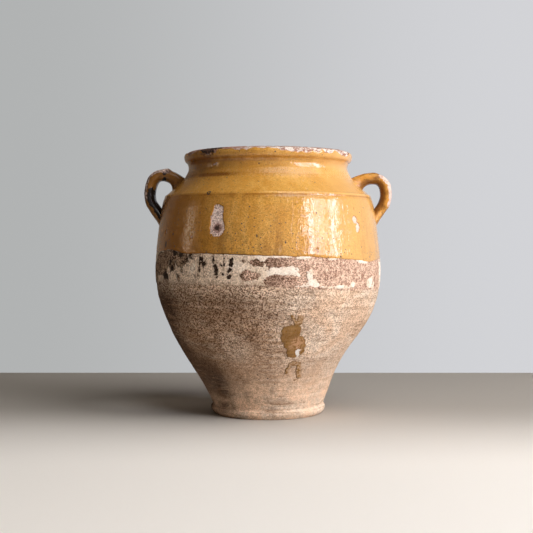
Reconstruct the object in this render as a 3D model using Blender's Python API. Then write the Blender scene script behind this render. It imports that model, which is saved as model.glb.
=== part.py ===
# Hand-thrown earthenware confit pot.
# A turned clay body carries two pulled strap handles, luted to its shoulder, and the coats that were
# fired on to it: a glaze outside down to the dip line, a glaze lining, the bare band of slip that
# shows under the glaze, and one run of spilt glaze on the belly.
# Metres, +Z up, -Y is the front. The origin is on the table, under the middle of the foot.

import math
import random

import bmesh
import bpy
from mathutils import Vector

# Clay body. Heights are above the table, drops are below the top of the lip.
POT_HEIGHT = 0.290
WALL = 0.0085
FLOOR_THICKNESS = 0.013
FOOT_RADIUS = 0.0597
FOOT_BEAD_RADIUS = 0.0640
FOOT_BEAD_HEIGHT = 0.0058
FOOT_BEAD_FULLNESS = 0.55
WAIST_RADIUS = 0.0620
WAIST_HEIGHT = 0.0104
WAIST_FLARE = math.radians(21)
WAIST_PULL = 0.078
BELLY_RADIUS = 0.1252
BELLY_HEIGHT = 0.160
BELLY_PULL_DOWN = 0.064
BELLY_PULL_UP = 0.015
RIDGE_RADIUS = 0.1142
RIDGE_DROP = 0.050
RIDGE_PULL_DOWN = 0.006
RIDGE_PULL_UP = 0.014
SHOULDER_SLOPE = math.radians(44)
NECK_RADIUS = 0.0878
NECK_DROP = 0.0175
NECK_PULL_DOWN = 0.012
LIP_OVERHANG = 0.0051
LIP_DROP = 0.0050
LIP_HEIGHT = 0.011
LIP_WIDTH = 0.013
LIP_UNDERCUT = 0.0016
LIP_FULLNESS = 0.6
CROWN_FULLNESS = 0.28
LIP_RADIUS = NECK_RADIUS + LIP_OVERHANG
HEEL_HEIGHT = 0.016
HEEL_FULLNESS = 0.6
HEEL_RUN_OUT = 0.2
# The wall was collared in off centre below the belly: its rings drift to -X there.
LEAN = 0.0042
LEAN_HEIGHT = 0.064
LEAN_REACH = 0.054

# Fired coats
CLEARANCE = 0.0003
GLAZE = 0.0008
SLIP = 0.0005
RUN = 0.0009
DIP_LINE_HEIGHT = 0.175
DIP_SLOPE = math.radians(2.0)
SLIP_BAND_HEIGHT = 0.030
SLIP_LINE_HEIGHT = DIP_LINE_HEIGHT - SLIP_BAND_HEIGHT
RIM_WEAR = 0.0035
LINING_DROP = 0.0065

# Strap handles. Stand-offs are out from the ridge, drops are below the top of the lip.
STRAP_THICKNESS = 0.0125
STRAP_WIDTH = 0.025
STRAP_ROUNDNESS = 2.4
ROOT_EMBED = 0.007
ROOT_REACH = 0.011
UPPER_ROOT_SPREAD = 0.010
UPPER_ROOT_SWELL = 0.0055
LOWER_ROOT_SPREAD = 0.013
LOWER_ROOT_THINNING = 0.0030
HANDLE_STAND_OFF = 0.0186
HANDLE_OUTERMOST_DROP = 0.0455
HANDLE_BEND_UP = 0.0205
HANDLE_BEND_DOWN = 0.014
UPPER_ROOT_DROP = 0.0335
LOWER_ROOT_DROP = 0.0735
LOWER_ROOT_SLOPE = math.radians(30)
LOWER_ROOT_PULL = 0.017
# The left strap was bent up into a higher knuckle than the right one.
HANDLES = {
    "left_handle": {"side": -1, "root_rise": math.radians(36), "root_pull": 0.029},
    "right_handle": {"side": 1, "root_rise": math.radians(24), "root_pull": 0.021},
}

# Chips through the glaze: (bearing in degrees from the front towards +X, drop, width, tall)
CHIPS = {
    "long_chip": (-25, 0.0775, 0.0135, 0.034),
    "small_chip": (48.5, 0.078, 0.0058, 0.013),
}
# Where the slip has flaked off below the glaze: (bearing, height over the slip line, width, tall)
FLAKES = {
    "bare_stretch": (41, 0.015, 0.096, 0.056),
    "front_flake": (2, 0.021, 0.040, 0.0085),
    "low_flake": (-9, 0.010, 0.015, 0.007),
    "left_flake": (-62, 0.022, 0.034, 0.011),
    "edge_flake": (-72, 0.0075, 0.007, 0.011),
    "back_flake": (165, 0.016, 0.050, 0.013),
    "side_flake": (112, 0.013, 0.026, 0.011),
}
BREAK_RAGGEDNESS = 0.10
BREAK_WAVES = (2, 3, 5, 7)
CUT_REACH = 0.040

# The spilt run: how far it reaches to each side of its bearing, as (distance below its top, left, right)
RUN_TOP_HEIGHT = 0.1145
RUN_BEARING = math.radians(15)
RUN_BODY = (
    (0.0000, -0.0004, 0.0058),
    (0.0080, 0.0022, 0.0048),
    (0.0095, 0.0132, 0.0056),
    (0.0175, 0.0135, 0.0071),
    (0.0240, 0.0138, 0.0101),
    (0.0300, 0.0087, 0.0130),
    (0.0385, 0.0047, 0.0141),
    (0.0445, -0.0007, 0.0119),
    (0.0480, -0.0040, 0.0080),
    (0.0505, -0.0001, 0.0113),
    (0.0535, 0.0006, 0.0118),
)
RUN_LEGS = ((-0.0027, 0.0620), (0.0119, 0.0665))
RUN_LEG_WIDTH = 0.0034
# How far the sheet that the run is cut from goes on past each end, as a share of the run
RUN_SHEET_SPARE = 0.5

# Facets
TURNS = 44
OUTER_POINTS = {"belly": 10, "upper": 5, "shoulder": 4}
INNER_POINTS = {"belly": 8, "upper": 4, "shoulder": 3}
FOOT_POINTS = 3
LIP_POINTS = 3
HEEL_POINTS = 3
BREAK_POINTS = 24
STRAP_SECTIONS = 22
STRAP_SIDES = 14
SHARP_ANGLE = math.radians(40)
MERGE_DISTANCE = 1e-6

UP = Vector((0, 0, 1))

TERRACOTTA = ("terracotta", (0.50, 0.33, 0.22, 1), 0.85)
HONEY_GLAZE = ("honey_glaze", (0.62, 0.34, 0.06, 1), 0.12)
WHITE_SLIP = ("white_slip", (0.72, 0.64, 0.54, 1), 0.75)
BROWN_GLAZE = ("brown_glaze", (0.25, 0.14, 0.03, 1), 0.18)


def clear_scene():
    for old in list(bpy.data.objects):
        bpy.data.objects.remove(old, do_unlink=True)


def material(finish):
    name, colour, roughness = finish
    made = bpy.data.materials.get(name) or bpy.data.materials.new(name)
    made.use_nodes = True
    shader = made.node_tree.nodes["Principled BSDF"]
    shader.inputs["Base Color"].default_value = colour
    shader.inputs["Roughness"].default_value = roughness
    shader.inputs["Metallic"].default_value = 0.0
    return made


def add_object(name, mesh_data, finish):
    """Turns a bmesh into a named, smooth-shaded object."""
    bmesh.ops.recalc_face_normals(mesh_data, faces=mesh_data.faces)
    mesh = bpy.data.meshes.new(name)
    mesh_data.to_mesh(mesh)
    mesh_data.free()
    mesh.shade_smooth()
    mesh.set_sharp_from_angle(angle=SHARP_ANGLE)
    mesh.materials.append(material(finish))
    made = bpy.data.objects.new(name, mesh)
    bpy.context.scene.collection.objects.link(made)
    return made


def as_helper(made):
    """A cutter shows as wire and isn't a piece of the pot."""
    made.hide_render = True
    made.display_type = "WIRE"
    return made


def boolean(made, other, operation):
    modifier = made.modifiers.new(f"{operation.lower()}_{other.name}", "BOOLEAN")
    modifier.operation = operation
    modifier.object = other


def bezier(start, start_handle, end_handle, end, count):
    """Points of a cubic curve after its start, with its end."""
    points = []
    for step in range(1, count + 1):
        t = step / count
        s = 1 - t
        points.append(
            s**3 * Vector(start)
            + 3 * s**2 * t * Vector(start_handle)
            + 3 * s * t**2 * Vector(end_handle)
            + t**3 * Vector(end)
        )
    return points


def drop(distance):
    """The height that lies this far below the top of the lip."""
    return POT_HEIGHT - distance


def foot_outline():
    """The foot's edge, its bead and the waist above it, as (radius, height)."""
    edge = (FOOT_RADIUS, 0)
    crest = (FOOT_BEAD_RADIUS, FOOT_BEAD_HEIGHT)
    waist = (WAIST_RADIUS, WAIST_HEIGHT)
    below = (FOOT_BEAD_RADIUS, FOOT_BEAD_HEIGHT * (1 - FOOT_BEAD_FULLNESS))
    above = (FOOT_BEAD_RADIUS, (FOOT_BEAD_HEIGHT + WAIST_HEIGHT) / 2)
    points = [Vector(edge)]
    points += bezier(edge, edge, below, crest, FOOT_POINTS)
    points += bezier(crest, above, waist, waist, FOOT_POINTS)
    return points


def wall_outline(count=OUTER_POINTS):
    """The wall's outer face from the waist to the neck."""
    waist = Vector((WAIST_RADIUS, WAIST_HEIGHT))
    belly = Vector((BELLY_RADIUS, BELLY_HEIGHT))
    ridge = Vector((RIDGE_RADIUS, drop(RIDGE_DROP)))
    neck = Vector((NECK_RADIUS, drop(NECK_DROP)))
    flare = Vector((math.sin(WAIST_FLARE), math.cos(WAIST_FLARE))) * WAIST_PULL
    slope = Vector((-math.cos(SHOULDER_SLOPE), math.sin(SHOULDER_SLOPE)))
    under_belly = belly - Vector((0, BELLY_PULL_DOWN))
    over_belly = belly + Vector((0, BELLY_PULL_UP))
    under_ridge = ridge - slope * RIDGE_PULL_DOWN
    over_ridge = ridge + slope * RIDGE_PULL_UP
    under_neck = neck - Vector((0, NECK_PULL_DOWN))
    points = [waist]
    points += bezier(waist, waist + flare, under_belly, belly, count["belly"])
    points += bezier(belly, over_belly, under_ridge, ridge, count["upper"])
    points += bezier(ridge, over_ridge, under_neck, neck, count["shoulder"])
    return points


def lip_outline():
    """The lip from its groove over the neck, round its bead, to the inner edge of the mouth."""
    neck = Vector((NECK_RADIUS, drop(NECK_DROP)))
    groove = Vector((LIP_RADIUS - LIP_UNDERCUT, drop(LIP_HEIGHT)))
    side = Vector((LIP_RADIUS, drop(LIP_DROP)))
    crown = Vector((LIP_RADIUS - LIP_WIDTH / 2, POT_HEIGHT))
    mouth = Vector((LIP_RADIUS - LIP_WIDTH, drop(LIP_DROP)))
    up = Vector((0, LIP_DROP * LIP_FULLNESS))
    across = Vector((LIP_WIDTH * CROWN_FULLNESS, 0))
    points = bezier(neck, neck + up, groove - up / 2 - across / 3, groove, LIP_POINTS)
    points += bezier(groove, groove + across / 3, side - up, side, LIP_POINTS)
    points += bezier(side, side + up, crown + across, crown, LIP_POINTS)
    points += bezier(crown, crown - across, mouth + up, mouth, LIP_POINTS)
    return points


def shifted(outline, distance):
    """The outline moved square to itself, to the right hand side going along it."""
    moved = []
    for index, point in enumerate(outline):
        before = outline[max(index - 1, 0)]
        after = outline[min(index + 1, len(outline) - 1)]
        along = (after - before).normalized()
        moved.append(point + Vector((along.y, -along.x)) * distance)
    return moved


def hollow_outline():
    """The inner face of the body from the mouth down to the middle of the floor."""
    mouth = lip_outline()[-1]
    inner_wall = [
        point
        for point in shifted(wall_outline(INNER_POINTS), -WALL)
        if FLOOR_THICKNESS + HEEL_HEIGHT < point.y < drop(NECK_DROP)
    ]
    inner_neck = Vector((min(NECK_RADIUS - WALL, mouth.x), drop(NECK_DROP)))
    heel = inner_wall[0]
    under_heel = Vector((heel.x - (inner_wall[1].x - heel.x), FLOOR_THICKNESS))
    centre = Vector((0, FLOOR_THICKNESS))
    on_floor = under_heel.lerp(centre, HEEL_RUN_OUT)
    points = [mouth, inner_neck] + inner_wall[::-1]
    points += bezier(heel, heel.lerp(under_heel, HEEL_FULLNESS), under_heel, on_floor, HEEL_POINTS)
    return points + [centre]


def wall_radius(height):
    """The radius of the wall's outer face at a height between the waist and the neck."""
    outline = wall_outline()
    for low, high in zip(outline, outline[1:]):
        if low.y <= height <= high.y:
            return low.x + (high.x - low.x) * (height - low.y) / (high.y - low.y)
    raise ValueError(f"no wall at a height of {height} m")


def lean(height):
    """How far the ring of the wall at a height drifts along X."""
    reach = min(abs(height - LEAN_HEIGHT) / LEAN_REACH, 1)
    return -LEAN * (1 + math.cos(math.pi * reach)) / 2


def turned(name, outline, finish, closed):
    """A solid turned from (radius, height): a closed loop, or a line with both ends on the axis."""
    made = bmesh.new()
    corners = [made.verts.new((point.x, 0, point.y)) for point in outline]
    pairs = list(zip(corners, corners[1:]))
    if closed:
        pairs.append((corners[-1], corners[0]))
    for pair in pairs:
        made.edges.new(pair)
    bmesh.ops.spin(
        made,
        geom=made.verts[:] + made.edges[:],
        axis=(0, 0, 1),
        cent=(0, 0, 0),
        steps=TURNS,
        angle=math.tau,
        use_merge=True,
    )
    bmesh.ops.remove_doubles(made, verts=made.verts, dist=MERGE_DISTANCE)
    for corner in made.verts:
        corner.co.x += lean(corner.co.z)
    return add_object(name, made, finish)


def coat_outline(face, thickness):
    """A coat on a face of the body: a clearance off it, and as thick as it is fired."""
    return shifted(face, CLEARANCE) + shifted(face, CLEARANCE + thickness)[::-1]


def outer_face():
    """The body's outer face from the waist up to where the lip is worn bare."""
    lip = [point for point in lip_outline() if point.x > LIP_RADIUS - LIP_WIDTH / 2]
    return wall_outline() + [point for point in lip if point.y < drop(RIM_WEAR)]


def thrown_body():
    outside = [Vector((0, 0))] + foot_outline() + wall_outline()[1:] + lip_outline()
    turned("thrown_body", outside + hollow_outline()[1:], TERRACOTTA, closed=False)


def strap_line(handle):
    """The strap's middle line as (radius, height), from inside the upper root to inside the lower."""
    upper = Vector((wall_radius(drop(UPPER_ROOT_DROP)), drop(UPPER_ROOT_DROP)))
    lower = Vector((wall_radius(drop(LOWER_ROOT_DROP)), drop(LOWER_ROOT_DROP)))
    outermost = Vector((RIDGE_RADIUS + HANDLE_STAND_OFF, drop(HANDLE_OUTERMOST_DROP)))
    rise = Vector((math.cos(handle["root_rise"]), math.sin(handle["root_rise"])))
    tuck = Vector((math.sin(LOWER_ROOT_SLOPE), math.cos(LOWER_ROOT_SLOPE)))
    half = STRAP_SECTIONS // 2
    points = [upper - rise * ROOT_EMBED, upper]
    points += bezier(
        upper,
        upper + rise * handle["root_pull"],
        outermost + Vector((0, HANDLE_BEND_UP)),
        outermost,
        half,
    )
    points += bezier(
        outermost,
        outermost - Vector((0, HANDLE_BEND_DOWN)),
        lower + tuck * LOWER_ROOT_PULL,
        lower,
        half,
    )
    return points + [lower - tuck * ROOT_EMBED]


def strap_ring(made, centre, along, side, width, thickness):
    """One rounded section of the strap, square to its middle line."""
    across = Vector((along.y, -along.x))
    ring = []
    for step in range(STRAP_SIDES):
        turn = math.tau * step / STRAP_SIDES
        c, s = math.cos(turn), math.sin(turn)
        out = math.copysign(abs(c) ** (2 / STRAP_ROUNDNESS), c) * thickness / 2
        wide = math.copysign(abs(s) ** (2 / STRAP_ROUNDNESS), s) * width / 2
        place = centre + across * out
        ring.append(made.verts.new((side * place.x, wide, place.y)))
    return ring


def root_share(distance):
    """How much of a root's own form the strap has at a distance along it from the wall."""
    return math.exp(-((max(distance, 0) / ROOT_REACH) ** 2))


def strap_sizes(line):
    """Width and thickness down the strap: swollen into the shoulder, thumbed out flat at its tail."""
    steps = [(after - before).length for before, after in zip(line, line[1:])]
    sizes = []
    for index in range(len(line)):
        upper = root_share(sum(steps[:index]) - ROOT_EMBED)
        lower = root_share(sum(steps[index:]) - ROOT_EMBED)
        width = STRAP_WIDTH + UPPER_ROOT_SPREAD * upper + LOWER_ROOT_SPREAD * lower
        thickness = STRAP_THICKNESS + UPPER_ROOT_SWELL * upper - LOWER_ROOT_THINNING * lower
        sizes.append((width, thickness))
    return sizes


def strap(name, handle, swell):
    """A strap lofted along its line; swell makes it larger all round, as a cutter."""
    made = bmesh.new()
    line = strap_line(handle)
    rings = []
    for index, (width, thickness) in enumerate(strap_sizes(line)):
        along = (line[min(index + 1, len(line) - 1)] - line[max(index - 1, 0)]).normalized()
        ring = strap_ring(
            made, line[index], along, handle["side"], width + 2 * swell, thickness + 2 * swell
        )
        rings.append(ring)
    for ring, following in zip(rings, rings[1:]):
        for step in range(STRAP_SIDES):
            after = (step + 1) % STRAP_SIDES
            made.faces.new((ring[step], ring[after], following[after], following[step]))
    made.faces.new(rings[0])
    made.faces.new(rings[-1])
    return add_object(name, made, HONEY_GLAZE)


def luted_handles():
    """Both straps, each cut to seat on the wall of the body."""
    seat_line = [Vector((0, 0))] + shifted(foot_outline() + wall_outline()[1:], CLEARANCE)
    seat_line.append(Vector((0, drop(NECK_DROP))))
    seat = as_helper(turned("root_seat", seat_line, TERRACOTTA, closed=False))
    for name, handle in HANDLES.items():
        boolean(strap(name, handle, swell=0), seat, "DIFFERENCE")


def root_holes():
    """Cutters a clearance larger than the straps, for the coats that stop round their roots."""
    return [
        as_helper(strap(f"{name}_hole", handle, swell=CLEARANCE)) for name, handle in HANDLES.items()
    ]


def half_space(name, above):
    """A block that ends at the slanting dip line and holds what lies above it, or below it."""
    reach = 2 * BELLY_RADIUS
    made = bmesh.new()
    bmesh.ops.create_cube(made, size=2 * reach)
    level = DIP_LINE_HEIGHT + reach if above else DIP_LINE_HEIGHT + CLEARANCE - reach
    for corner in made.verts:
        corner.co.z += level - math.tan(DIP_SLOPE) * corner.co.x
    return as_helper(add_object(name, made, WHITE_SLIP))


def radial_prism(name, outline, bearing, height):
    """A block with an outline of (across, up) that runs square through the wall at a bearing."""
    out = Vector((math.sin(bearing), -math.cos(bearing), 0))
    across = Vector((math.cos(bearing), math.sin(bearing), 0))
    made = bmesh.new()
    ends = []
    for depth in (-CUT_REACH, CUT_REACH):
        middle = out * (wall_radius(height) + depth) + Vector((0, 0, height))
        ends.append([made.verts.new(middle + across * point.x + UP * point.y) for point in outline])
    count = len(outline)
    for step in range(count):
        after = (step + 1) % count
        made.faces.new((ends[0][step], ends[0][after], ends[1][after], ends[1][step]))
    made.faces.new(ends[0])
    made.faces.new(ends[1])
    return as_helper(add_object(name, made, WHITE_SLIP))


def ragged_oval(width, tall, seed):
    """The outline of a chip or a flake: an oval with a broken edge."""
    draw = random.Random(seed)
    waves = [(wave, draw.uniform(0, math.tau)) for wave in BREAK_WAVES]
    points = []
    for step in range(BREAK_POINTS):
        turn = math.tau * step / BREAK_POINTS
        swing = sum(math.cos(wave * turn + phase) / wave**0.5 for wave, phase in waves)
        oval = Vector((math.cos(turn) * width / 2, math.sin(turn) * tall / 2))
        points.append(oval * (1 + BREAK_RAGGEDNESS * swing))
    return points


def break_out(made, name, bearing, height, width, tall):
    """Cuts one chip or flake through a coat."""
    cutter = radial_prism(name, ragged_oval(width, tall, name), math.radians(bearing), height)
    boolean(made, cutter, "DIFFERENCE")


def outer_glaze(holes):
    face = [point for point in outer_face() if point.y > WAIST_HEIGHT + BELLY_HEIGHT / 2]
    made = turned("outer_glaze", coat_outline(face, GLAZE), HONEY_GLAZE, closed=True)
    boolean(made, half_space("undipped", above=False), "DIFFERENCE")
    for hole in holes:
        boolean(made, hole, "DIFFERENCE")
    for name, (bearing, below_lip, width, tall) in CHIPS.items():
        break_out(made, name, bearing, drop(below_lip), width, tall)


def inner_glaze():
    mouth, inner_neck, *below = hollow_outline()
    top = mouth.lerp(inner_neck, (LINING_DROP - LIP_DROP) / (NECK_DROP - LIP_DROP))
    face = [top, inner_neck] + below
    outline = coat_outline(face, GLAZE)
    count = len(face)
    outline[count - 1].x = 0
    outline[count].x = 0
    turned("inner_glaze", outline[count:] + outline[:count], HONEY_GLAZE, closed=False)


def slip_band(holes):
    middle = [point for point in wall_outline() if SLIP_LINE_HEIGHT < point.y < drop(RIDGE_DROP)]
    low = Vector((wall_radius(SLIP_LINE_HEIGHT), SLIP_LINE_HEIGHT))
    made = turned("slip_band", coat_outline([low] + middle, SLIP), WHITE_SLIP, closed=True)
    boolean(made, half_space("dipped", above=True), "DIFFERENCE")
    for hole in holes:
        boolean(made, hole, "DIFFERENCE")
    for name, (bearing, up, width, tall) in FLAKES.items():
        break_out(made, name, bearing, SLIP_LINE_HEIGHT + up, width, tall)


def run_outline():
    """The run's outline below its top: down its left side, round its two legs and up its right side."""
    left = [Vector((-wide, -down)) for down, wide, _ in RUN_BODY]
    right = [Vector((wide, -down)) for down, _, wide in RUN_BODY]
    half = RUN_LEG_WIDTH / 2
    left_leg, right_leg = [
        [
            Vector((place - half, -length + half)),
            Vector((place, -length)),
            Vector((place + half, -length + half)),
        ]
        for place, length in RUN_LEGS
    ]
    crotch = left[-1].lerp(right[-1], 0.5)
    return left + left_leg + [crotch] + right_leg + right[::-1]


def glaze_run():
    length = max(length for _, length in RUN_LEGS)
    spare = RUN_SHEET_SPARE * length
    face = [
        point
        for point in wall_outline()
        if RUN_TOP_HEIGHT - length - spare < point.y < RUN_TOP_HEIGHT + spare
    ]
    made = turned("glaze_run", coat_outline(face, RUN), BROWN_GLAZE, closed=True)
    boolean(made, radial_prism("run_shape", run_outline(), RUN_BEARING, RUN_TOP_HEIGHT), "INTERSECT")


def main():
    clear_scene()
    thrown_body()
    luted_handles()
    holes = root_holes()
    outer_glaze(holes)
    inner_glaze()
    slip_band(holes)
    glaze_run()


main()
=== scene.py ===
import math

import bpy
import numpy as np
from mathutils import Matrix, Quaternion, Vector, noise
from mathutils.geometry import interpolate_bezier


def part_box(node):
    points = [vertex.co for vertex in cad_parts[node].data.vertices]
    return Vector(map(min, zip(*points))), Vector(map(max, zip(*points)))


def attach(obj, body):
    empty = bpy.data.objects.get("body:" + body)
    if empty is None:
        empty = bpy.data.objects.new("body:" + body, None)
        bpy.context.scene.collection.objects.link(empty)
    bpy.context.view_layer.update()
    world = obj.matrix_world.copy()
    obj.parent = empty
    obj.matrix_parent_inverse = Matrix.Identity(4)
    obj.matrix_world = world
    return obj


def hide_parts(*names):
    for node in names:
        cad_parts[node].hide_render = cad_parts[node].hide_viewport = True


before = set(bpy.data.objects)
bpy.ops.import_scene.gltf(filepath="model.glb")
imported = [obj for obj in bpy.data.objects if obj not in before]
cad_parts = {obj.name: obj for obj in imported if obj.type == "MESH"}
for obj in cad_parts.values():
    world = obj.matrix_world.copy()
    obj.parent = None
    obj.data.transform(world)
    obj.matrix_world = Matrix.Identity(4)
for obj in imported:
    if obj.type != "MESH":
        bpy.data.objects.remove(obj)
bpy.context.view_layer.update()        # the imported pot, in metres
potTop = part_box("thrown_body")[1].z
tau = 2 * math.pi


# heights, given as drops from the top of the lip
def below(*drops):
    return [potTop - drop for drop in drops]


# one output of a node; sums and products written on it add Math nodes
class Wire:
    def __init__(self, bench, socket):
        self.bench = bench
        self.socket = socket

    def also(self, out):
        return Wire(self.bench, self.socket.node.outputs[out])

    def math(self, operation, other=0.0, turned=False):
        first, second = (other, self) if turned else (self, other)
        return self.bench.node("ShaderNodeMath", {"operation": operation}, {0: first, 1: second})

    def vector(self, operation, other=(0.0, 0.0, 0.0), out=0):
        return self.bench.node("ShaderNodeVectorMath", {"operation": operation}, {0: self, 1: other}, out)

    # 0 at low, 1 at high, eased; low may be the larger
    def ease(self, low, high):
        values = {"Value": self, "From Min": low, "From Max": high}
        if low > high:
            values = {"Value": self, "From Min": high, "From Max": low, "To Min": 1.0, "To Max": 0.0}
        return self.bench.node("ShaderNodeMapRange", {"interpolation_type": "SMOOTHSTEP"}, values)

    # up from low to lowFull, down again from highFull to high
    def band(self, low, lowFull, highFull, high):
        return self.ease(low, lowFull) * self.ease(high, highFull)

    # size is about the width of one cloud, in metres
    def cloud(self, size, detail=3.0, roughness=0.55, warp=0.0):
        values = {"Vector": self, "Scale": 1 / size, "Detail": detail, "Roughness": roughness}
        return self.bench.node("ShaderNodeTexNoise", {}, {**values, "Distortion": warp})

    # 1 along the lines where a cloud is halfway between its extremes
    def threads(self, wide, sharp):
        return (self - 0.5).math("ABSOLUTE").ease(wide, sharp)

    def cells(self, size, feature="F1"):
        values = {"Vector": self, "Scale": 1 / size}
        return self.bench.node("ShaderNodeTexVoronoi", {"feature": feature}, values, "Distance")

    # one random value in each cell
    def pick(self):
        return self.bench.node("ShaderNodeSeparateColor", {}, {0: self.also("Color")}, "Red")

    # round dots in some of the cells: size in metres, dot as a share of it
    def dots(self, size, dot, few):
        cells = self.cells(size)
        return cells.ease(dot, dot * 0.5) * cells.pick().ease(few, few + 0.08)

    # a place on which patterns are drawn out upwards, tall under 1, or flattened, tall over 1
    def drawn(self, tall):
        return self.vector("MULTIPLY", (1.0, 1.0, tall))

    def gap(self, middle, shape=None):
        if not shape:
            return self.vector("DISTANCE", middle, "Value")
        return self.vector("SUBTRACT", middle).vector("MULTIPLY", shape).vector("LENGTH", out="Value")

    def parts(self):
        first = self.bench.node("ShaderNodeSeparateXYZ", {}, {0: self}, "X")
        return first, first.also("Y"), first.also("Z")


for sign, operation in (("add", "ADD"), ("sub", "SUBTRACT"), ("mul", "MULTIPLY"), ("truediv", "DIVIDE")):
    setattr(Wire, f"__{sign}__", lambda self, other, kind=operation: self.math(kind, other))
    setattr(Wire, f"__r{sign}__", lambda self, other, kind=operation: self.math(kind, other, True))


# one node tree, for a material, for geometry or for the room
class Bench:
    def __init__(self, tree, palette):
        self.tree = tree
        self.palette = palette
        self.tone = None     # in a finish, the colour so far

    def node(self, kind, settings=None, values=None, out=0):
        made = self.tree.nodes.new(kind)
        for name, value in (settings or {}).items():
            setattr(made, name, value)
        for name, value in (values or {}).items():
            if isinstance(value, Wire):
                self.tree.links.new(value.socket, made.inputs[name])
            else:
                made.inputs[name].default_value = value
        return Wire(self, made.outputs[out]) if made.outputs else None

    def measure(self, name):
        return self.node("ShaderNodeAttribute", {"attribute_name": name}, out="Fac")

    # a colour is a wire, three numbers or the name of one of the finish's own colours
    def colour(self, value):
        if isinstance(value, Wire):
            return value
        return (*(self.palette[value] if isinstance(value, str) else value), 1.0)

    def tint(self, share, first, second, how="MIX"):
        settings = {"data_type": "RGBA", "blend_type": how, "clamp_factor": True}
        values = {0: share, 6: self.colour(first), 7: self.colour(second)}
        return self.node("ShaderNodeMix", settings, values, 2)

    # one more layer on the colour so far
    def layer(self, share, shade):
        self.tone = self.tint(share, self.tone, shade)

    # grains that darken and lighten the colour so far
    def sprinkle(self, share, gain):
        self.layer(share, self.tint(1.0, self.tone, gain, "MULTIPLY"))

    def bump(self, height, depth, under=None):
        values = {"Strength": 1.0, "Distance": depth, "Height": height}
        if under:
            values["Normal"] = under
        return self.node("ShaderNodeBump", {}, values)


def newFinish(name, palette):
    made = bpy.data.materials.new(name)
    made.use_nodes = True
    made.node_tree.nodes.clear()
    bench = Bench(made.node_tree, palette)
    return made, bench, bench.node("ShaderNodeTexCoord", out="Object")


def closeFinish(bench, roughness, ground=None, ior=None):
    values = {"Base Color": bench.tone, "Roughness": roughness, "Normal": ground, "IOR": ior}
    given = {name: value for name, value in values.items() if value is not None}
    shader = bench.node("ShaderNodeBsdfPrincipled", {}, given)
    bench.node("ShaderNodeOutputMaterial", {}, {"Surface": shader})


# a step of this length, leaning this far from upright
def slant(degrees, length):
    return length * math.sin(math.radians(degrees)), length * math.cos(math.radians(degrees))


# the line that is turned on the wheel: up the outside, over the lip and down the inside
# to the middle of the floor; knots as (radius, height), handle before, handle after
flare = 21
shoulder = -46
floorHeight = 0.0130
potKnots = {
    "middle": ((0, 0), (0, 0), (0.020, 0)),
    "foot": ((0.0597, 0), (-0.020, 0), (0, 0)),
    "bead": ((0.0640, 0.0058), (-0.0006, -0.0030), (0.0002, 0.0016)),
    "ledge": ((0.0633, 0.0090), (0.0008, -0.0003), (-0.0006, 0.0003)),
    "waist": ((0.0619, 0.0107), (0.0002, -0.0008), slant(flare, 0.078)),
    "belly": ((0.1252, 0.1600), (0, -0.064), (0, 0.015)),
    "ridge": ((0.1142, potTop - 0.0500), slant(shoulder, -0.006), slant(shoulder, 0.014)),
    "neck": ((0.0878, potTop - 0.0175), (0, -0.012), (0, 0.0028)),
    "groove": ((0.0904, potTop - 0.0110), (-0.0012, -0.0014), (0.0012, 0)),
    "lipSide": ((0.0929, potTop - 0.0050), (0, -0.0028), (0, 0.0028)),
    "crown": ((0.08615, potTop), (0.0035, 0), (-0.0035, 0)),
    "mouth": ((0.0799, potTop - 0.0046), (0, 0.0028), (0, -0.003)),
    "innerNeck": ((0.0793, potTop - 0.0185), (0, 0.004), (0, -0.010)),
    "innerRidge": ((0.1062, potTop - 0.0535), slant(shoulder, 0.012), slant(shoulder, -0.006)),
    "innerBelly": ((0.1167, 0.1600), (0, 0.015), (0, -0.062)),
    "heel": ((0.0585, 0.0335), slant(flare, 0.060), slant(flare, -0.012)),
    "floorEdge": ((0.04212, floorHeight), (0.010, 0), (-0.010, 0)),
    "floorMiddle": ((0, floorHeight), (0.020, 0), (0, 0)),
}
lineSteps = 32
seedStep = 13.7


def drawProfile(knots):
    curve = bpy.data.curves.new("potProfile", "CURVE")
    curve.dimensions = "3D"
    curve.resolution_u = lineSteps
    spline = curve.splines.new("BEZIER")
    spline.bezier_points.add(len(knots) - 1)
    for point, (place, before, after) in zip(spline.bezier_points, knots):
        point.handle_left_type = "FREE"
        point.handle_right_type = "FREE"
        point.co = (place.x, 0, place.y)
        point.handle_left = (before.x, 0, before.y)
        point.handle_right = (after.x, 0, after.y)
    made = bpy.data.objects.new("potProfile", curve)
    bpy.context.scene.collection.objects.link(made)
    made.hide_render = True
    return made


# the same line as points, to look up radius and height by the distance along it
def profileTable(knots):
    points = []
    for (start, _, startAfter), (end, endBefore, _) in zip(knots, knots[1:]):
        run = interpolate_bezier(start, startAfter, endBefore, end, lineSteps + 1)
        points += [(point.x, point.y) for point in run[:-1]]
    points.append(tuple(knots[-1][0]))
    line = np.array(points)
    reach = np.concatenate([[0], np.cumsum(np.hypot(*np.diff(line, axis=0).T))])
    return line, reach


knots = []
for place, before, after in potKnots.values():
    knots.append((Vector(place), Vector(place) + Vector(before), Vector(place) + Vector(after)))
profile = drawProfile(knots)
line, reach = profileTable(knots)
crownReach = reach[np.argmax(line[:, 1])]
mouthReach = reach[lineSteps * list(potKnots).index("mouth")]
outside = reach <= crownReach


def radiusAt(along):
    return np.interp(along, reach, line[:, 0])


def heightAt(along):
    return np.interp(along, reach, line[:, 1])


# distance along the outside of the line at a height
def reachAt(height):
    return np.interp(height, line[outside, 1], reach[outside])


def wallPoints(bearings, alongs):
    radius = radiusAt(alongs)
    return np.stack([radius * np.sin(bearings), -radius * np.cos(bearings), heightAt(alongs)], -1)


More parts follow.
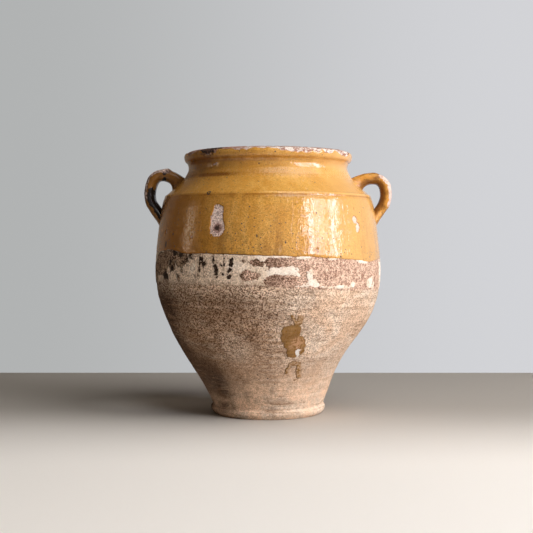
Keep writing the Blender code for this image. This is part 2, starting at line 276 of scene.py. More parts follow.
# the sizes of the potter's wheel, which are named inputs of its tree
wheelSizes = {
    "Lean": 0.0042,           # the rings drift to -X below the belly
    "Lean Height": 0.064,
    "Lean Reach": 0.054,
    "Wobble": 0.0007,
    "Wobble Size": 0.12,
    "Ring Depth": 0.00034,
    "Ring Pitch": 0.0052,
    "Flat Foot": 0.010,       # no wobble below this, so that the pot stands flat
}


# a place on the outside of the wall, by its bearing from the front and its height
def wallSpot(bearing, height):
    radius = float(radiusAt(reachAt(height)))
    away = min(abs(height - wheelSizes["Lean Height"]) / wheelSizes["Lean Reach"], 1)
    shift = -wheelSizes["Lean"] * (1 + math.cos(math.pi * away)) / 2
    turn = math.radians(bearing)
    return radius * math.sin(turn) + shift, -radius * math.cos(turn), height


# soft noise, about -1 to 1, with clouds of a size in metres
def grain(points, size, seed, octaves=3):
    flat = points.reshape(-1, 3) / size + seedStep * seed
    values = [noise.fractal(Vector(point), 1.0, 2.0, octaves) for point in flat]
    return np.array(values).reshape(points.shape[:-1])


# the same with a depth; a rag, wander, dent or lump in the settings is (depth, size)
def roughen(points, settings, seed, octaves=3):
    depth, size = settings
    return depth * grain(points, size, seed, octaves)


def ease(value, low, high):
    share = np.clip((value - low) / (high - low), 0, 1)
    return share * share * (3 - 2 * share)


# 1 at the middle, falling off on both sides
def swell(away, wide, power=2):
    return np.exp(-((away / wide) ** power))


print("profile drawn,", len(line), "points,", round(reach[-1] * 1000), "mm long")

weld = 0.00001
crease = math.radians(48)


# a flat sheet of (bearing, distance along the line, lift) becomes a turned skin
def buildWheel():
    tree = bpy.data.node_groups.new("throwOnWheel", "GeometryNodeTree")
    tree.interface.new_socket("Geometry", in_out="OUTPUT", socket_type="NodeSocketGeometry")
    kinds = dict.fromkeys(wheelSizes, "Float")
    kinds = {"Geometry": "Geometry", "Profile": "Object", **kinds, "Finish": "Material"}
    sockets = {}
    for name, kind in kinds.items():
        item = tree.interface.new_socket(name, in_out="INPUT", socket_type="NodeSocket" + kind)
        sockets[name] = item.identifier
    bench = Bench(tree, {})
    given = bench.node("NodeGroupInput")
    bearing, along, lift = bench.node("GeometryNodeInputPosition").parts()
    drawn = bench.node("GeometryNodeObjectInfo", {}, {"Object": given.also("Profile")}, "Geometry")
    byLength = {"mode": "LENGTH", "use_all_curves": True}
    sampled = {"Curves": drawn, "Length": along}
    onLine = bench.node("GeometryNodeSampleCurve", byLength, sampled, "Position")
    radius, _, height = onLine.parts()
    outRun, _, upRun = onLine.also("Tangent").parts()
    sine = bearing.math("SINE")
    cosine = bearing.math("COSINE")
    # throwing rings: clouds drawn out flat round the wall
    pitch = along / given.also("Ring Pitch")
    ringPlace = bench.node("ShaderNodeCombineXYZ", {}, {0: sine, 1: cosine, 2: pitch})
    rings = bench.node("ShaderNodeTexNoise", {}, {"Vector": ringPlace, "Scale": 1.0, "Detail": 2.0})
    spot = bench.node("ShaderNodeCombineXYZ", {}, {0: radius * sine, 1: radius * cosine, 2: height})
    loose = {"Vector": spot, "Scale": 1 / given.also("Wobble Size"), "Detail": 1.0}
    wobble = bench.node("ShaderNodeTexNoise", {}, loose)
    hand = (rings - 0.5) * given.also("Ring Depth") * 2 + (wobble - 0.5) * given.also("Wobble") * 2
    # none of it at the foot, and none at the middle, where the skin closes in one point
    smooth = {"interpolation_type": "SMOOTHSTEP"}
    standing, inMiddle = [
        bench.node("ShaderNodeMapRange", smooth, {"Value": value, "From Max": given.also("Flat Foot")})
        for value in (height, radius)
    ]
    lift = lift + hand * standing * inMiddle
    radius = radius + upRun * lift * inMiddle
    height = height - outRun * lift
    # the rings lean to one side below the belly
    away = (height - given.also("Lean Height")) / given.also("Lean Reach")
    away = away.math("ABSOLUTE").math("MINIMUM", 1.0)
    shift = given.also("Lean") * ((away * math.pi).math("COSINE") + 1) * -0.5
    x = radius * sine + shift
    turned = bench.node("ShaderNodeCombineXYZ", {}, {0: x, 1: radius * cosine * -1, 2: height})
    skin = bench.node("GeometryNodeSetPosition", {}, {"Geometry": given, "Position": turned})
    skin = bench.node("GeometryNodeMergeByDistance", {}, {"Geometry": skin, "Distance": weld})
    skin = bench.node("GeometryNodeSetShadeSmooth", {}, {"Geometry": skin})
    skin = bench.node("GeometryNodeRealizeInstances", {}, {"Geometry": skin})
    skin = bench.node("GeometryNodeSetMaterial", {}, {"Geometry": skin, "Material": given.also("Finish")})
    bench.node("NodeGroupOutput", {}, {0: skin})
    return tree, sockets


wheel, wheelSockets = buildWheel()


def newPiece(name, mesh, measures):
    for key, values in measures.items():
        layer = mesh.attributes.new(key, "FLOAT", "POINT")
        layer.data.foreach_set("value", values.ravel().astype(np.float32))
    piece = bpy.data.objects.new(name, mesh)
    bpy.context.scene.collection.objects.link(piece)
    return piece


# throws one sheet on the wheel and leaves a plain mesh
def throwPiece(name, points, faces, measures, finish):
    flat = bpy.data.meshes.new(name + "Sheet")
    flat.from_pydata(points.tolist(), [], faces)
    piece = newPiece(name, flat, measures)
    throw = piece.modifiers.new("throw", "NODES")
    throw.node_group = wheel
    for key, value in {"Profile": profile, **wheelSizes, "Finish": finish}.items():
        throw[wheelSockets[key]] = value
    graph = bpy.context.evaluated_depsgraph_get()
    solid = bpy.data.meshes.new_from_object(
        piece.evaluated_get(graph), preserve_all_data_layers=True, depsgraph=graph
    )
    piece.modifiers.remove(throw)
    piece.data = solid
    bpy.data.meshes.remove(flat)
    solid.name = name
    solid.set_sharp_from_angle(angle=crease)
    print(name, "thrown,", sum(len(face.vertices) - 2 for face in solid.polygons), "triangles")
    return piece


# ribs and grooves that the potter's fingers left, shared by the clay and its coats:
# (height, lift, width)
fingerMarks = {
    "ridgeBead": (potTop - 0.0494, 0.00050, 0.0008),
    "underRidge": (potTop - 0.0522, -0.00028, 0.0013),
    "neckLine": (potTop - 0.0288, -0.00022, 0.0011),
    "collar": (potTop - 0.0258, 0.00010, 0.0017),
    "underLip": (potTop - 0.0120, -0.00022, 0.0012),
    "bellyRib": (0.1320, 0.00030, 0.0030),
    "footRib": (0.0235, 0.00030, 0.0024),
}


def fingerLift(alongs):
    lift = np.zeros_like(alongs)
    for height, rise, width in fingerMarks.values():
        lift += rise * swell(alongs - reachAt(height), width) * (alongs < crownReach)
    return lift


def signedTurn(bearings, degrees):
    return (bearings - math.radians(degrees) + math.pi) % tau - math.pi


# metres outside a rounded patch on the wall; below 0 is inside it
def ovalGap(bearings, alongs, bearing, height, width, tall, slant=0.0, square=2.3):
    middle = reachAt(height)
    across = signedTurn(bearings, bearing) * radiusAt(middle)
    up = alongs - middle
    turn = math.radians(slant)
    wide = np.abs(across * math.cos(turn) + up * math.sin(turn)) / (width / 2)
    high = np.abs(up * math.cos(turn) - across * math.sin(turn)) / (tall / 2)
    return ((wide**square + high**square) ** (1 / square) - 1) * min(width, tall) / 2


# four values for each cell of a grid, in order round it
def cellRing(low, right, high, left):
    return np.stack([low, right, high, left], -1).reshape(-1, 4)


# a cut stays this far from the ends of a grid line, as a share of it
cutMargin = 0.06


# a coat's skin over the cells where field is above 0, with its back in the clay and its edge closed
def coatSheet(bearings, alongs, field, lift, edgeLift, under):
    rows, columns = field.shape
    inside = field > 0
    ahead = np.roll(field, -1, axis=1)
    turnCut = inside != np.roll(inside, -1, axis=1)
    upCut = inside[:-1] != inside[1:]
    ends = (cutMargin, 1 - cutMargin)
    turnShare = np.clip(field / np.where(turnCut, field - ahead, 1), *ends)
    upShare = np.clip(field[:-1] / np.where(upCut, field[:-1] - field[1:], 1), *ends)
    step = np.diff(bearings, append=bearings[0] + tau)
    bearingGrid, alongGrid = np.meshgrid(bearings, alongs)
    rise = np.diff(alongs)[:, None]
    kept = np.stack([bearingGrid[inside], alongGrid[inside], lift[inside], field[inside]], -1)
    turned = np.stack([bearingGrid + turnShare * step, alongGrid], -1)[turnCut]
    raised = np.stack([bearingGrid[:-1], alongGrid[:-1] + upShare * rise], -1)[upCut]
    cuts = np.concatenate([turned, raised])
    edge = np.column_stack([cuts, np.full(len(cuts), edgeLift), np.zeros(len(cuts))])
    front = np.concatenate([kept, edge])
    cornerId = np.full((rows, columns), -1)
    cornerId[inside] = np.arange(len(kept))
    turnId = np.full((rows, columns), -1)
    turnId[turnCut] = len(kept) + np.arange(len(turned))
    upId = np.full((rows - 1, columns), -1)
    upId[upCut] = len(kept) + len(turned) + np.arange(len(raised))
    nextId = np.roll(cornerId, -1, axis=1)
    corners = cellRing(cornerId[:-1], nextId[:-1], nextId[1:], cornerId[1:])
    sides = cellRing(turnId[:-1], np.roll(upId, -1, axis=1), turnId[1:], upId)
    count = (corners >= 0).sum(1)
    faces = corners[count == 4].tolist()
    skirt = []
    mixed = (count > 0) & (count < 4)
    for cornerRow, sideRow in zip(corners[mixed].tolist(), sides[mixed].tolist()):
        around = [index for pair in zip(cornerRow, sideRow) for index in pair]
        face = [index for index in around if index >= 0]
        faces.append(face)
        for here, after in zip(face, face[1:] + face[:1]):
            if here >= len(kept) and after >= len(kept):
                skirt.append((after, here))
    total = len(front)
    back = front.copy()
    back[:, 2] = -under
    shell = faces + [[index + total for index in reversed(face)] for face in faces]
    shell += [[after, here, here + total, after + total] for after, here in skirt]
    points = np.concatenate([front, back])
    points[:, 2] += fingerLift(points[:, 1])
    return points[:, :3], shell, {"edge": points[:, 3]}


# rows from a list of (start, step), up to an end
def rowList(runs, end):
    rows = []
    for (start, step), (stop, _) in zip(runs, (*runs[1:], (end, 0))):
        rows += np.linspace(start, stop, max(int((stop - start) / step), 1), endpoint=False).tolist()
    return np.array(rows + [end])


# bearings all round from a list of (start, step) in degrees, alone and as a grid with the rows
def wallGrid(turns, alongs):
    bearings = np.radians(rowList(turns, turns[0][0] + 360)[:-1])
    return bearings, *np.meshgrid(bearings, alongs)


# a coat on the wall, thinner towards its edge; fieldOf gives the metres from the edge, below 0 outside
def makeCoat(name, coat, fieldOf, finish):
    alongs = rowList(coat["rows"], coat["end"])
    bearings, bearingGrid, alongGrid = wallGrid(coat["turns"], alongs)
    field = fieldOf(bearingGrid, alongGrid)
    full = np.clip(field / coat["edgeWidth"], 0, 1)
    if coat["bulges"]:
        full = np.sqrt(1 - (1 - full) ** 2)
    lift = coat["edgeLift"] + (coat["thickness"] - coat["edgeLift"]) * full
    sheet = coatSheet(bearings, alongs, field, lift, coat["edgeLift"], coat["under"])
    return throwPiece(name, *sheet, finish)


# where the pot was dipped, lip down: the line slants and wanders;
# swells as (bearing, rise, width in degrees)
dipLine = {
    "height": 0.1757,
    "slope": math.tan(math.radians(2.1)),
    "wander": (0.0013, 0.075),
    "ripple": (0.00045, 0.009),
    "swells": ((-55, 0.0032, 9), (-43, -0.0010, 6), (59, -0.0022, 9), (18, 0.0014, 9), (140, 0.003, 16)),
}


def dipHeight(bearings):
    points = wallPoints(bearings, np.full_like(bearings, reachAt(dipLine["height"])))
    height = dipLine["height"] - dipLine["slope"] * points[..., 0]
    height += roughen(points, dipLine["wander"], 1) + roughen(points, dipLine["ripple"], 2)
    for bearing, rise, wide in dipLine["swells"]:
        height += rise * swell(signedTurn(bearings, bearing), math.radians(wide))
    return height


# the honey glaze outside: chips as (bearing from the front, height, width, tall, slant),
# wear of the rim as (bearing, depth, width in degrees)
outerGlaze = {
    "turns": ((-78, 0.66), (-32, 0.32), (-19, 0.66), (84, 1.80)),
    "rows": (
        (reachAt(0.1640), 0.0016), (reachAt(0.1940), 0.0009), (reachAt(0.2300), 0.0016),
        (reachAt(potTop - 0.0560), 0.0006), (reachAt(potTop - 0.0460), 0.0026),
        (reachAt(potTop - 0.0310), 0.0012), (reachAt(potTop - 0.0140), 0.0009),
    ),
    "end": crownReach,
    "thickness": 0.0008,
    "edgeLift": 0.0005,
    "under": 0.0003,
    "edgeWidth": 0.0016,
    "bulges": True,
    "rimHeight": 0.2872,
    "rimWander": (0.0015, 0.006),
    "chipRag": (0.0011, 0.0042),
    "fineChipRag": (0.00088, 0.0020),
    "outOfReach": -0.001,     # no glaze on the first and the last row
    "chips": (
        (-25.2, 0.2205, 0.0124, 0.0168, 4), (-25.4, 0.2125, 0.0142, 0.0215, 0),
        (-25.3, 0.2045, 0.0160, 0.0184, 0), (48.7, 0.2132, 0.0080, 0.0070, -16),
        (50.6, 0.2056, 0.0062, 0.0100, -12), (-39.9, 0.1958, 0.0040, 0.0034, 0),
        (-40.0, 0.2723, 0.0042, 0.0018, 20), (-63.0, 0.2010, 0.0030, 0.0042, 0),
        (24.0, 0.1830, 0.0026, 0.0030, 0), (98.0, 0.2050, 0.0075, 0.0150, 12),
        (151.0, 0.2250, 0.0110, 0.0180, -8), (158.0, 0.1940, 0.0052, 0.0066, 0),
        (-128.0, 0.2120, 0.0066, 0.0100, 20), (-150.0, 0.1860, 0.0120, 0.0090, 0),
        (-168.0, 0.2420, 0.0060, 0.0040, 0),
    ),
    "rimWear": (
        (-66, 0.0022, 7), (-47.5, 0.0030, 2.2), (-43.0, 0.0046, 2.6), (-37.5, 0.0034, 2.4),
        (-20.0, 0.0016, 2.4), (-12.0, 0.0014, 3.0), (12.0, 0.0022, 4.0), (19.0, 0.0034, 4.0),
        (26.5, 0.0030, 3.0), (33.5, 0.0032, 3.2), (44.0, 0.0030, 5.0), (62.0, 0.0042, 8.0),
        (105, 0.0036, 9), (163, 0.0030, 12), (-95, 0.0024, 10), (-140, 0.0034, 7),
    ),
}


def glazeField(bearings, alongs):
    points = wallPoints(bearings, alongs)
    rag = roughen(points, outerGlaze["chipRag"], 3) + roughen(points, outerGlaze["fineChipRag"], 15)
    field = alongs - reachAt(dipHeight(bearings[0]))[None, :]
    rim = np.full_like(bearings[0], outerGlaze["rimHeight"])
    for bearing, depth, wide in outerGlaze["rimWear"]:
        rim -= depth * swell(signedTurn(bearings[0], bearing), math.radians(wide), 4)
    worn = reachAt(rim)[None, :] + roughen(points, outerGlaze["rimWander"], 4)
    field = np.minimum(field, worn - alongs)
    for chip in outerGlaze["chips"]:
        field = np.minimum(field, ovalGap(bearings, alongs, *chip) + rag)
    field[[0, -1]] = outerGlaze["outOfReach"]
    return field


# the bare band of slip below the glaze: flakes that came off it and islands left in them,
# both as (bearing, height, width, tall, slant)
slipBand = {
    "turns": ((-80, 0.26), (84, 0.75)),
    "rows": ((reachAt(0.1350), 0.0006),),
    "end": reachAt(0.1880),
    "thickness": 0.00055,
    "edgeLift": 0.00040,
    "under": 0.0003,
    "edgeWidth": 0.0009,
    "bulges": False,
    "tuck": 0.0016,
    "lowHeight": 0.1462,
    "lowSlope": 0.060,
    "lowWander": (0.0016, 0.010),
    "lowFeather": 0.0060,
    "rag": (0.0022, 0.0085),
    "fineRag": 0.0013,
    "fineRagSize": 0.0019,
    "ragged": 0.0080,     # a flake smaller than this has a smoother edge
    "specks": 0.66,       # it crazed off in specks where the noise is above this
    "speckSize": 0.0065,
    "speckSlope": 0.003,
    "flakes": (
        (42, 0.1600, 0.1080, 0.0620, 0), (14.5, 0.1694, 0.0240, 0.0128, 0),
        (6.0, 0.1688, 0.0310, 0.0116, 0), (17.5, 0.1602, 0.0140, 0.0160, 0),
        (72, 0.1590, 0.0320, 0.0600, 0), (8.3, 0.1512, 0.0420, 0.0126, 0),
        (-5.7, 0.1688, 0.0150, 0.0074, -8), (-8.5, 0.1560, 0.0196, 0.0098, 3),
        (-11.3, 0.1702, 0.0030, 0.0034, 0), (-54, 0.1760, 0.0560, 0.0120, 0),
        (-46, 0.1716, 0.0210, 0.0130, 8), (-66, 0.1665, 0.0400, 0.0240, 0),
        (-53.7, 0.1660, 0.0130, 0.0120, 20), (-60.3, 0.1499, 0.0130, 0.0160, -20),
        (-48.0, 0.1524, 0.0036, 0.0044, 20), (-45.5, 0.1600, 0.0022, 0.0024, 0),
        (-34.0, 0.1672, 0.0021, 0.0154, -8), (-34.4, 0.1612, 0.0040, 0.0052, 0),
        (-32.2, 0.1677, 0.0020, 0.0130, 10), (-33.4, 0.1735, 0.0034, 0.0040, 0),
        (-26.5, 0.1714, 0.0029, 0.0096, 0), (-25.9, 0.1663, 0.0028, 0.0032, 0),
        (-24.8, 0.1608, 0.0037, 0.0112, 8), (-17.3, 0.1690, 0.0050, 0.0086, -10),
        (-17.8, 0.1626, 0.0042, 0.0036, -30), (-18.1, 0.1549, 0.0050, 0.0056, 0),
        (-20.8, 0.1674, 0.0014, 0.0090, 0), (-78, 0.1560, 0.0220, 0.0260, 0),
        (100, 0.1580, 0.0300, 0.0110, 6), (118, 0.1480, 0.0180, 0.0100, 0),
        (140, 0.1690, 0.0420, 0.0080, -4), (168, 0.1600, 0.0520, 0.0150, 5),
        (-152, 0.1520, 0.0360, 0.0130, -3), (-128, 0.1660, 0.0240, 0.0090, 0),
        (-104, 0.1520, 0.0110, 0.0130, 12),
    ),
    "islands": (
        (9.6, 0.1614, 0.0200, 0.0088, 4), (19.9, 0.1562, 0.0060, 0.0110, 0, 4),
        (21.0, 0.1490, 0.0088, 0.0090, 0, 4), (22.6, 0.1462, 0.0090, 0.0058, -24, 4),
        (33.8, 0.1438, 0.0400, 0.0034, 0), (45.1, 0.1456, 0.0066, 0.0060, 0),
        (59.4, 0.1474, 0.0120, 0.0110, 0, 3), (62.2, 0.1510, 0.0040, 0.0070, 0),
        (75.8, 0.1612, 0.0090, 0.0220, 0), (16.0, 0.1750, 0.0130, 0.0034, 0),
        (32.2, 0.1734, 0.0120, 0.0036, 0), (52.2, 0.1702, 0.0200, 0.0044, -4),
    ),
}


def slipField(bearings, alongs):
    points = wallPoints(bearings, alongs)
    fine = grain(points, slipBand["fineRagSize"], 6)
    rag = roughen(points, slipBand["rag"], 5)
    nibble = slipBand["fineRag"] * fine

    def ragged(patch):
        return rag * min(patch[2], patch[3], slipBand["ragged"]) / slipBand["ragged"] + nibble

    field = np.full_like(alongs, 1.0)
    for flake in slipBand["flakes"]:
        field = np.minimum(field, ovalGap(bearings, alongs, *flake) + ragged(flake))
    for island in slipBand["islands"]:
        field = np.maximum(field, -ovalGap(bearings, alongs, *island) + ragged(island))
    lost = slipBand["specks"] - grain(points, slipBand["speckSize"], 18)
    field = np.minimum(field, lost * slipBand["speckSlope"])
    low = slipBand["lowHeight"] - slipBand["lowSlope"] * np.maximum(points[0, :, 0], 0)
    low = reachAt(low)[None, :] + roughen(points, slipBand["lowWander"], 7)
    feather = slipBand["lowFeather"] * (fine - 0.1)
    field = np.minimum(field, alongs - low - np.maximum(feather, 0))
    dip = dipHeight(bearings[0]) + slipBand["tuck"]
    return np.minimum(field, reachAt(dip)[None, :] - alongs)


# the spilt run of glaze: drops as (bearing, height, width, tall, slant, squareness),
# legs as two places (bearing, height) and a width
glazeRun = {
    "turns": ((0, 0.20), (38, 2.0)),
    "rows": ((reachAt(0.0380), 0.0004),),
    "end": reachAt(0.1220),
    "thickness": 0.00075,
    "edgeLift": 0.00022,
    "under": 0.0003,
    "edgeWidth": 0.0030,
    "bulges": True,
    "rag": (0.0013, 0.0042),
    "drops": (
        (13.2, 0.0970, 0.0200, 0.0190, 0, 3.6), (10.4, 0.0905, 0.0080, 0.0080, 0, 2.0),
        (16.6, 0.0870, 0.0240, 0.0170, 0, 2.4), (19.0, 0.0790, 0.0200, 0.0210, 4, 2.8),
        (21.2, 0.0635, 0.0115, 0.0060, 0, 4.0),
    ),
    "legs": (
        ((12.0, 0.1150), (14.6, 0.1070), 0.0036), ((16.9, 0.1140), (15.4, 0.1040), 0.0066),
        ((18.4, 0.0630), (15.8, 0.0540), 0.0048), ((24.4, 0.0630), (26.6, 0.0490), 0.0054),
        ((23.4, 0.0452), (26.6, 0.0456), 0.0030),
    ),
}


# metres outside a drip that runs from one place on the wall to another
def dripGap(bearings, alongs, start, end, width):
    startUp = reachAt(start[1])
    span = reachAt(end[1]) - startUp
    share = np.clip((alongs - startUp) / span, 0, 1)
    middle = start[0] + (end[0] - start[0]) * share
    across = signedTurn(bearings - np.radians(middle), 0) * radiusAt(alongs)
    return np.hypot(across, alongs - startUp - share * span) - width / 2


def runField(bearings, alongs):
    gaps = [ovalGap(bearings, alongs, *drop) for drop in glazeRun["drops"]]
    gaps += [dripGap(bearings, alongs, *leg) for leg in glazeRun["legs"]]
    return roughen(wallPoints(bearings, alongs), glazeRun["rag"], 9) - np.min(gaps, axis=0)


# the lining, from under the lip to the middle of the floor
lining = {
    "turns": ((0, 1.6),),
    "rows": ((mouthReach, 0.0040),),
    "end": reach[-1],
    "thickness": 0.0007,
    "edgeLift": 0.0003,
    "under": 0.0003,
    "edgeWidth": 0.004,
    "bulges": True,
    "topDrop": 0.0015,
    "wander": (0.0018, 0.03),
}


def liningField(bearings, alongs):
    wander = roughen(wallPoints(bearings, alongs), lining["wander"], 10)
    return alongs - mouthReach - lining["topDrop"] + wander


# the clay body: rows are close where the clay shows, wide apart where a coat hides it;
# chips in the foot as (bearing, height, width, tall)
body = {
    "turns": ((-80, 0.74), (84, 1.10)),
    "rows": (
        (0.000, 0.0070), (reachAt(0.0002), 0.0009), (reachAt(0.0180), 0.0017), (reachAt(0.1850), 0.0045),
        (reachAt(potTop - 0.0560), 0.0010), (reachAt(potTop - 0.0460), 0.0045), (reachAt(0.2790), 0.0010),
        (crownReach + 0.012, 0.0080),
    ),
    "shown": (reachAt(0.0005), reachAt(0.1900)),
    "pitDepth": 0.00055,
    "pitSize": 0.0038,
    "dents": (0.00025, 0.016),
    "dentShape": (1, 1, 2.4),
    "footChips": (
        (-10, 0.0078, 0.0080, 0.0040), (9, 0.0082, 0.0060, 0.0036), (17, 0.0080, 0.0070, 0.0034),
        (62, 0.0078, 0.0080, 0.0036), (-120, 0.0075, 0.0130, 0.0040), (150, 0.0080, 0.0090, 0.0036),
    ),
    "chipDepth": 0.0011,
    "chipRag": (0.0006, 0.003),
    "rimPits": 0.0007,
    "rimPitSize": 0.0048,
    "rimReach": 0.006,
}


def bodyLift(bearings, alongs):
    points = wallPoints(bearings, alongs)
    shown = (alongs > body["shown"][0]) & (alongs < body["shown"][1])
    pits = ease(grain(points, body["pitSize"], 11, 2), 0.30, 0.62)
    dents = roughen(points * np.array(body["dentShape"]), body["dents"], 12, 2)
    lift = (dents - pits * body["pitDepth"]) * shown
    rag = roughen(points, body["chipRag"], 13)
    for chip in body["footChips"]:
        gap = ovalGap(bearings, alongs, *chip) + rag
        lift -= body["chipDepth"] * ease(-gap, -0.0002, 0.0009) * shown
    rim = swell(alongs - crownReach, body["rimReach"])
    lift -= rim * body["rimPits"] * ease(grain(points, body["rimPitSize"], 14), 0.0, 0.55)
    return lift + fingerLift(alongs)


# four-cornered faces between the rows of a grid that closes on itself sideways
def gridFaces(rows, columns):
    ids = np.arange(rows * columns).reshape(rows, columns)
    after = np.roll(ids, -1, axis=1)
    return ids, cellRing(ids[:-1], after[:-1], after[1:], ids[1:]).tolist()


def makeBody(finish):
    _, bearingGrid, alongGrid = wallGrid(body["turns"], rowList(body["rows"], reach[-1]))
    lift = bodyLift(bearingGrid, alongGrid)
    points = np.stack([bearingGrid, alongGrid, lift], -1).reshape(-1, 3)
    return throwPiece("thrownBody", points, gridFaces(*lift.shape)[1], {}, finish)


# the pulled straps: heights from the table, lengths in metres, places along a strap as shares of it
strap = {
    "sections": 120,
    "sides": 48,
    "thickness": 0.0134,
    "width": 0.0250,
    "roundness": 2.4,
    "embed": 0.0070,
    "outermost": (potKnots["ridge"][0][0] + 0.0181, potTop - 0.0455),
    "bendUp": 0.0205,
    "bendDown": 0.0140,
    "upperRoot": potTop - 0.0335,
    "lowerRoot": potTop - 0.0735,
    "lowerSlope": math.radians(30),
    "lowerPull": 0.017,
    "spread": 0.0052,     # each root widens where it nears the wall
    "spreadShares": (0.8, 1.05),
    "spreadReach": 0.0042,
    "lowerThin": 0.0010,
    "pad": 0.0200,        # clay smeared down the shoulder under the upper root
    "padReach": 0.0058,
    "knuckleAt": 0.27,
    "knuckleReach": 0.035,
    "lump": (0.0007, 0.013),
    "pit": 0.00035,
    "pitSize": 0.0036,
    "dish": 0.0010,       # the outer face is a little hollow where the thumb drew it
    "wearSize": 0.006,
    "sootFrom": (0.50, 0.59),
    "sootAt": 0.29,       # and a spot of it by the knuckle
    "sootReach": 0.045,
    "left": {
        "side": -1,
        "rise": math.radians(36),
        "pull": 0.029,
        "knuckle": 0.0016,
        "soot": 1.0,
        "stain": 1.0,
        "wear": 0.70,
        "wearFrom": (0.14, 0.30),
    },
    "right": {
        "side": 1,
        "rise": math.radians(24),
        "pull": 0.021,
        "knuckle": 0.0,
        "soot": 0.0,
        "stain": 0.0,
        "wear": 1.0,
        "wearFrom": (0.30, 0.44),
    },
}


# the middle of a strap, as (distance from the axis, height), with both ends sunk in the wall
def strapLine(settings):
    upper, lower = [
        Vector((radiusAt(reachAt(height)), height)) for height in (strap["upperRoot"], strap["lowerRoot"])
    ]
    outermost = Vector(strap["outermost"])
    rise = Vector((math.cos(settings["rise"]), math.sin(settings["rise"])))
    tuck = Vector((math.sin(strap["lowerSlope"]), math.cos(strap["lowerSlope"])))
    half = strap["sections"] // 2
    over = outermost + Vector((0, strap["bendUp"]))
    under = outermost - Vector((0, strap["bendDown"]))
    points = interpolate_bezier(upper, upper + rise * settings["pull"], over, outermost, half)
    points += interpolate_bezier(outermost, under, lower + tuck * strap["lowerPull"], lower, half)[1:]
    start = [upper - rise * strap["embed"] * share for share in (1, 0.66, 0.33)]
    tail = [lower - tuck * strap["embed"] * share for share in (0.33, 0.66, 1)]
    return np.array([tuple(point) for point in start + points + tail])


def makeHandle(name, settings, finish):
    middle = strapLine(settings)
    steps = np.gradient(middle, axis=0)
    steps /= np.hypot(*steps.T)[:, None]
    outX = -steps[:, 1, None]     # away from the hole
    outZ = steps[:, 0, None]
    length = np.concatenate([[0], np.cumsum(np.hypot(*np.diff(middle, axis=0).T))])
    share = (length / length[-1])[:, None]
    turn = np.arange(strap["sides"]) * tau / strap["sides"]
    power = 2 / strap["roundness"]
    out, wide = [np.sign(wave) * np.abs(wave) ** power for wave in (np.cos(turn), np.sin(turn))]
    # both roots spread on the wall, and the upper one has a pad under it
    clear = np.clip(middle[:, 0] - radiusAt(reachAt(middle[:, 1])), 0, 1)[:, None]
    upper = share < 0.5
    root = np.exp(-clear / strap["spreadReach"])
    half = strap["width"] / 2 + strap["spread"] * root * np.where(upper, *strap["spreadShares"])
    thick = strap["thickness"] / 2 - root * np.where(upper, 0, strap["lowerThin"])
    knuckle = settings["knuckle"] * swell(share - strap["knuckleAt"], strap["knuckleReach"])
    pad = strap["pad"] * np.exp(-clear / strap["padReach"]) * upper
    outward = np.where(out > 0, out * (thick + knuckle), out * (thick + pad))
    hollow = np.clip(1 - wide**2 * 1.2, 0, 1) * (out > 0.2)
    outward = outward - strap["dish"] * hollow * np.sin(share * math.pi)
    x = settings["side"] * (middle[:, 0, None] + outX * outward)
    z = middle[:, 1, None] + outZ * outward
    points = np.stack([x, half * wide, z], -1)
    lump = roughen(points, strap["lump"], 20, 2)
    lump -= strap["pit"] * ease(grain(points, strap["pitSize"], 21, 2), 0.25, 0.6)
    faced = np.stack([settings["side"] * outX * out, wide + 0 * x, outZ * out], -1)
    points = points + faced * lump[..., None]
    # where the glaze is worn off or sooty, and where it is browner: the inner face as painted shade, and
    # all of a strap whose stain is 1, for the finish
    rough = grain(points, strap["wearSize"], 22)
    worn = ease(out + 0.3 * rough, 0.0, 0.45) * ease(share, *settings["wearFrom"])
    worn = worn * ease(1 - share, 0.14, 0.40) * settings["wear"]
    soot = ease(share + 0.08 * rough, *strap["sootFrom"])
    soot += 0.9 * swell(share - strap["sootAt"], strap["sootReach"]) * (rough > -0.10)
    soot = settings["soot"] * soot * ease(0.5 - out + 0.3 * rough, 0.0, 0.5)
    inside = np.maximum(ease(0.25 * rough - out, -0.10, 0.55), settings["stain"])
    ids, faces = gridFaces(*x.shape)
    faces += [ids[0][::-1].tolist(), ids[-1].tolist()]
    if settings["side"] > 0:
        faces = [face[::-1] for face in faces]
    mesh = bpy.data.meshes.new(name)
    mesh.from_pydata(points.reshape(-1, 3).tolist(), [], faces)
    mesh.shade_smooth()
    mesh.materials.append(finish)
    print(name, "pulled,", 2 * x.size, "triangles")
    return newPiece(name, mesh, {"worn": worn, "soot": soot, "inside": inside})


